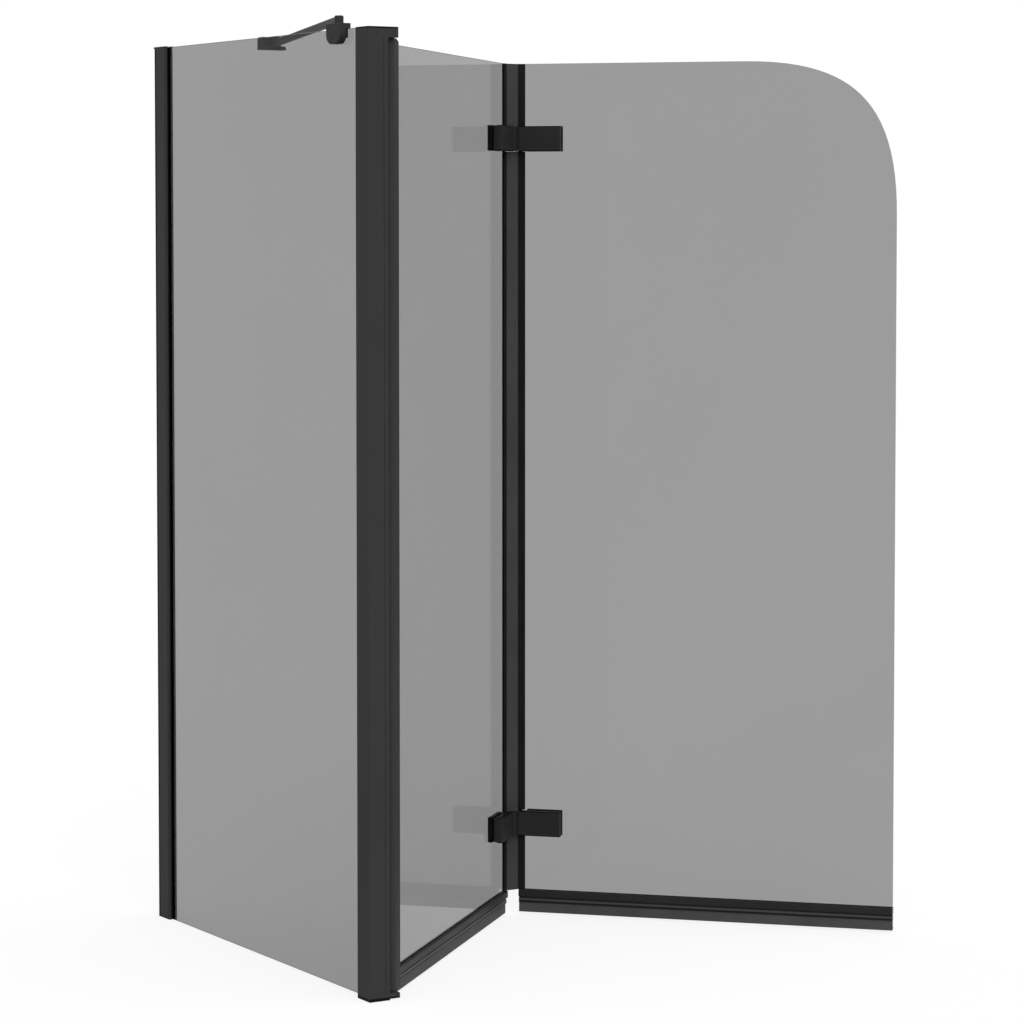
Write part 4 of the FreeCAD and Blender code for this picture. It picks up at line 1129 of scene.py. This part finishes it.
@dataclass
class FoldHinge:
    """One fold hinge: two leaves with covers outside and plates inside, on a pin."""

    box: Paintbox
    level: str
    cover_painted_shade: float = 1.5 * MM

    def build(self) -> None:
        """Dresses the nodes."""
        name = f"{self.level}_hinge"
        # Painted shade along each cover's top and bottom edge, where its chamfers lie in shadow
        painted_shade_rims = tuple(painted_shade_band(corner.z, self.cover_painted_shade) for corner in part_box(f"{name}_cover_1"))
        finish = replace(SATIN, name=f"satin_{self.level}_cover", painted_light_bands=painted_shade_rims)
        self.box.paint([f"{name}_cover_1", f"{name}_cover_2"], finish)
        for side in (1, 2):
            self.box.paint([f"{name}_leaf_{side}", f"{name}_inner_plate_{side}"], SATIN)
        self.box.paint([f"{name}_pin"], STEEL)


@dataclass
class FoldSeal:
    """A soft web that closes the fold between the two doors.

    The shares are of the web's width or depth: rib_share is the thick rib's at each end,
    middle_share the thin middle's, and lap_start is where the lap past the hinges begins.
    """

    box: Paintbox
    level: str
    columns: int = 24
    rib_share: float = 0.12
    middle_share: float = 0.62
    bow: float = 0.5 * MM
    lap: float = 1.0 * MM
    lap_start: float = 0.80

    def build(self) -> None:
        """Makes the web, with a slight bow, in place of the CAD node."""
        name = f"fold_seal_{self.level}"
        low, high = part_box(name)
        width, depth, height = high - low
        bm = bmesh.new()
        bmesh.ops.create_grid(bm, x_segments=self.columns, y_segments=2, size=0.5)
        middle_y = (low.y + high.y) / 2
        for vert in bm.verts:
            share = vert.co.x + 0.5
            slope = min(1.0, min(share, 1.0 - share) / self.rib_share)
            # The ribs run smoothly into the thin middle
            thin = 1.0 - (1.0 - self.middle_share) * slope * slope * (3.0 - 2.0 * slope)
            sag = -self.bow * math.sin(math.pi * share)
            vert.co.x = low.x + width * share
            vert.co.y = middle_y + depth * thin * vert.co.y + sag
            vert.co.z = low.z
        upper = points_of(bmesh.ops.extrude_face_region(bm, geom=bm.faces[:]))
        bmesh.ops.translate(bm, vec=(0.0, 0.0, height), verts=upper)
        self.lap_ends(bm, low, high)
        piece = make_piece(bm, f"{name}_web", self.box.material(SEAL))
        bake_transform(piece)
        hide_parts(name)
        LOG.info("%s made in place of %s", piece.name, name)

    def lap_ends(self, bm: bmesh.types.BMesh, low: Vector, high: Vector) -> None:
        """Lets the web lap past the hinges above and below it, on the second door's side.

        Args:
            bm: The web.
            low: Lowest corner of the web.
            high: Highest corner of the web.
        """
        for vert in bm.verts:
            if (vert.co.x - low.x) / (high.x - low.x) < self.lap_start:
                continue
            if vert.co.z > high.z - MM and self.level != "upper":
                vert.co.z += self.lap
            if vert.co.z < low.z + MM and self.level != "lower":
                vert.co.z -= self.lap


# Studio


@dataclass(frozen=True)
class Sun:
    """A wide soft sun. Its place is in degrees: from -Y towards +X, and above the floor."""

    name: str
    turn: float
    rise: float
    irradiance: float
    spread: float
    distance: float = 4.0


KEY_SUN = Sun("key_sun", turn=-18.0, rise=28.0, irradiance=1.27, spread=50.0)
FILL_SUN = Sun("fill_sun", turn=35.0, rise=52.0, irradiance=0.30, spread=60.0)


@dataclass
class Studio:
    """A pale floor, soft even light and the camera of the photograph."""

    floor_size: float = 60.0
    floor_drop: float = 0.0003
    floor_shade: float = 0.62
    floor_seen: float = 0.24
    floor_lift: float = 0.80
    world_level: float = 0.65
    world_seen: float = 1.019
    camera_place: tuple[float, float, float] = (-2.1937, -4.6971, 1.0348)
    camera_turn: float = 30.849
    camera_drop: float = 3.028
    camera_lens: float = 121.51
    camera_shift: float = -0.1
    camera_sensor: float = 36.0
    camera_reach: float = 100.0

    def build(self) -> None:
        """Makes the world, the floor, the lamps and the camera."""
        self.make_world()
        self.make_floor()
        self.make_lamp(KEY_SUN)
        self.make_lamp(FILL_SUN)
        self.make_camera()
        bpy.context.scene.view_settings.view_transform = "Standard"

    def seen_directly(self, tree: bpy.types.NodeTree) -> bpy.types.NodeSocket:
        """A mask of the rays that look at the background: camera, glossy and transmission rays.

        Args:
            tree: Tree of the world's or the floor's material.

        Returns:
            The mask.
        """
        path = add_node(tree, "LightPath")
        first = add_node(tree, "Math", operation="MAXIMUM")
        both = add_node(tree, "Math", operation="MAXIMUM")
        tree.links.new(path.outputs["Is Camera Ray"], first.inputs[0])
        tree.links.new(path.outputs["Is Glossy Ray"], first.inputs[1])
        tree.links.new(first.outputs[0], both.inputs[0])
        tree.links.new(path.outputs["Is Transmission Ray"], both.inputs[1])
        return both.outputs[0]

    def make_world(self) -> None:
        """Makes a white world that lights at the plain level."""
        world = bpy.data.worlds.new("studio")
        bpy.context.scene.world = world
        world.use_nodes = True
        tree = world.node_tree
        light = tree.nodes["Background"]
        light.inputs["Color"].default_value = (1.0, 1.0, 1.0, 1.0)
        level = add_node(tree, "MapRange")
        level.inputs["To Min"].default_value = self.world_level
        level.inputs["To Max"].default_value = self.world_seen
        tree.links.new(self.seen_directly(tree), level.inputs["Value"])
        tree.links.new(level.outputs["Result"], light.inputs["Strength"])

    def make_floor(self) -> None:
        """Makes the plain floor, white where no shadow lies."""
        bm = bmesh.new()
        bmesh.ops.create_grid(bm, x_segments=2, y_segments=2, size=self.floor_size / 2)
        bmesh.ops.translate(bm, vec=(0.0, 0.0, -self.floor_drop), verts=bm.verts)
        maker = MaterialMaker("studio_floor")
        maker.set(Roughness=1.0, Specular_IOR_Level=0.0)
        maker.shader.inputs["Emission Color"].default_value = (1.0, 1.0, 1.0, 1.0)
        seen = self.seen_directly(maker.tree)
        shade = maker.spread(seen, 0.0, 1.0, self.floor_shade, self.floor_seen)
        lift = maker.spread(seen, 0.0, 1.0, 0.0, self.floor_lift)
        maker.link(shade, maker.shader.inputs["Base Color"])
        maker.link(lift, maker.shader.inputs["Emission Strength"])
        floor = make_piece(bm, "studio_floor", maker.material)

    def make_lamp(self, sun: Sun) -> None:
        """Makes a lamp that only lights, and isn't seen in the glass or in a shine.

        Args:
            sun: The sun that the lamp stands for.
        """
        lamp = bpy.data.lights.new(sun.name, "SUN")
        lamp.energy = sun.irradiance
        lamp.angle = math.radians(sun.spread)
        holder = bpy.data.objects.new(sun.name, lamp)
        turn, rise = math.radians(sun.turn), math.radians(sun.rise)
        back = Vector(
            (math.sin(turn) * math.cos(rise), -math.cos(turn) * math.cos(rise), math.sin(rise))
        )
        holder.rotation_mode = "QUATERNION"
        holder.rotation_quaternion = back.to_track_quat("Z", "Y")
        holder.location = back * sun.distance
        holder.visible_glossy = False
        holder.visible_transmission = False
        bpy.context.scene.collection.objects.link(holder)

    def make_camera(self) -> None:
        """Makes the camera at the photograph's viewing angle."""
        camera = bpy.data.cameras.new("camera")
        camera.sensor_width = self.camera_sensor
        camera.lens = self.camera_lens
        camera.shift_y = self.camera_shift
        camera.clip_end = self.camera_reach
        holder = bpy.data.objects.new("camera", camera)
        holder.location = self.camera_place
        holder.rotation_euler = (
            math.radians(90.0 - self.camera_drop),
            0.0,
            math.radians(-self.camera_turn),
        )
        bpy.context.scene.collection.objects.link(holder)
        bpy.context.scene.camera = holder


def main() -> None:
    """Builds the sub-assemblies in order and reports each piece."""
    logging.basicConfig(level=logging.INFO, format="%(name)s: %(message)s")
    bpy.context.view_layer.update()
    box = Paintbox(frame["nodes"])
    box.paint(["side_glass"], glass_for("side_smoked_glass", angle=90.0, tint=0.295))
    for part in (
        WallSide(box),
        CornerPost(box),
        SupportArm(box),
        PivotSide(box),
        Door(box, "door_1", angle=44.0, tint=0.302),
        Door(box, "door_2", angle=-45.6, tint=0.320),
        FoldHinge(box, "lower"),
        FoldHinge(box, "upper"),
        FoldSeal(box, "lower"),
        FoldSeal(box, "middle"),
        FoldSeal(box, "upper"),
        Studio(),
    ):
        part.build()


if __name__ == "__main__":
    main()
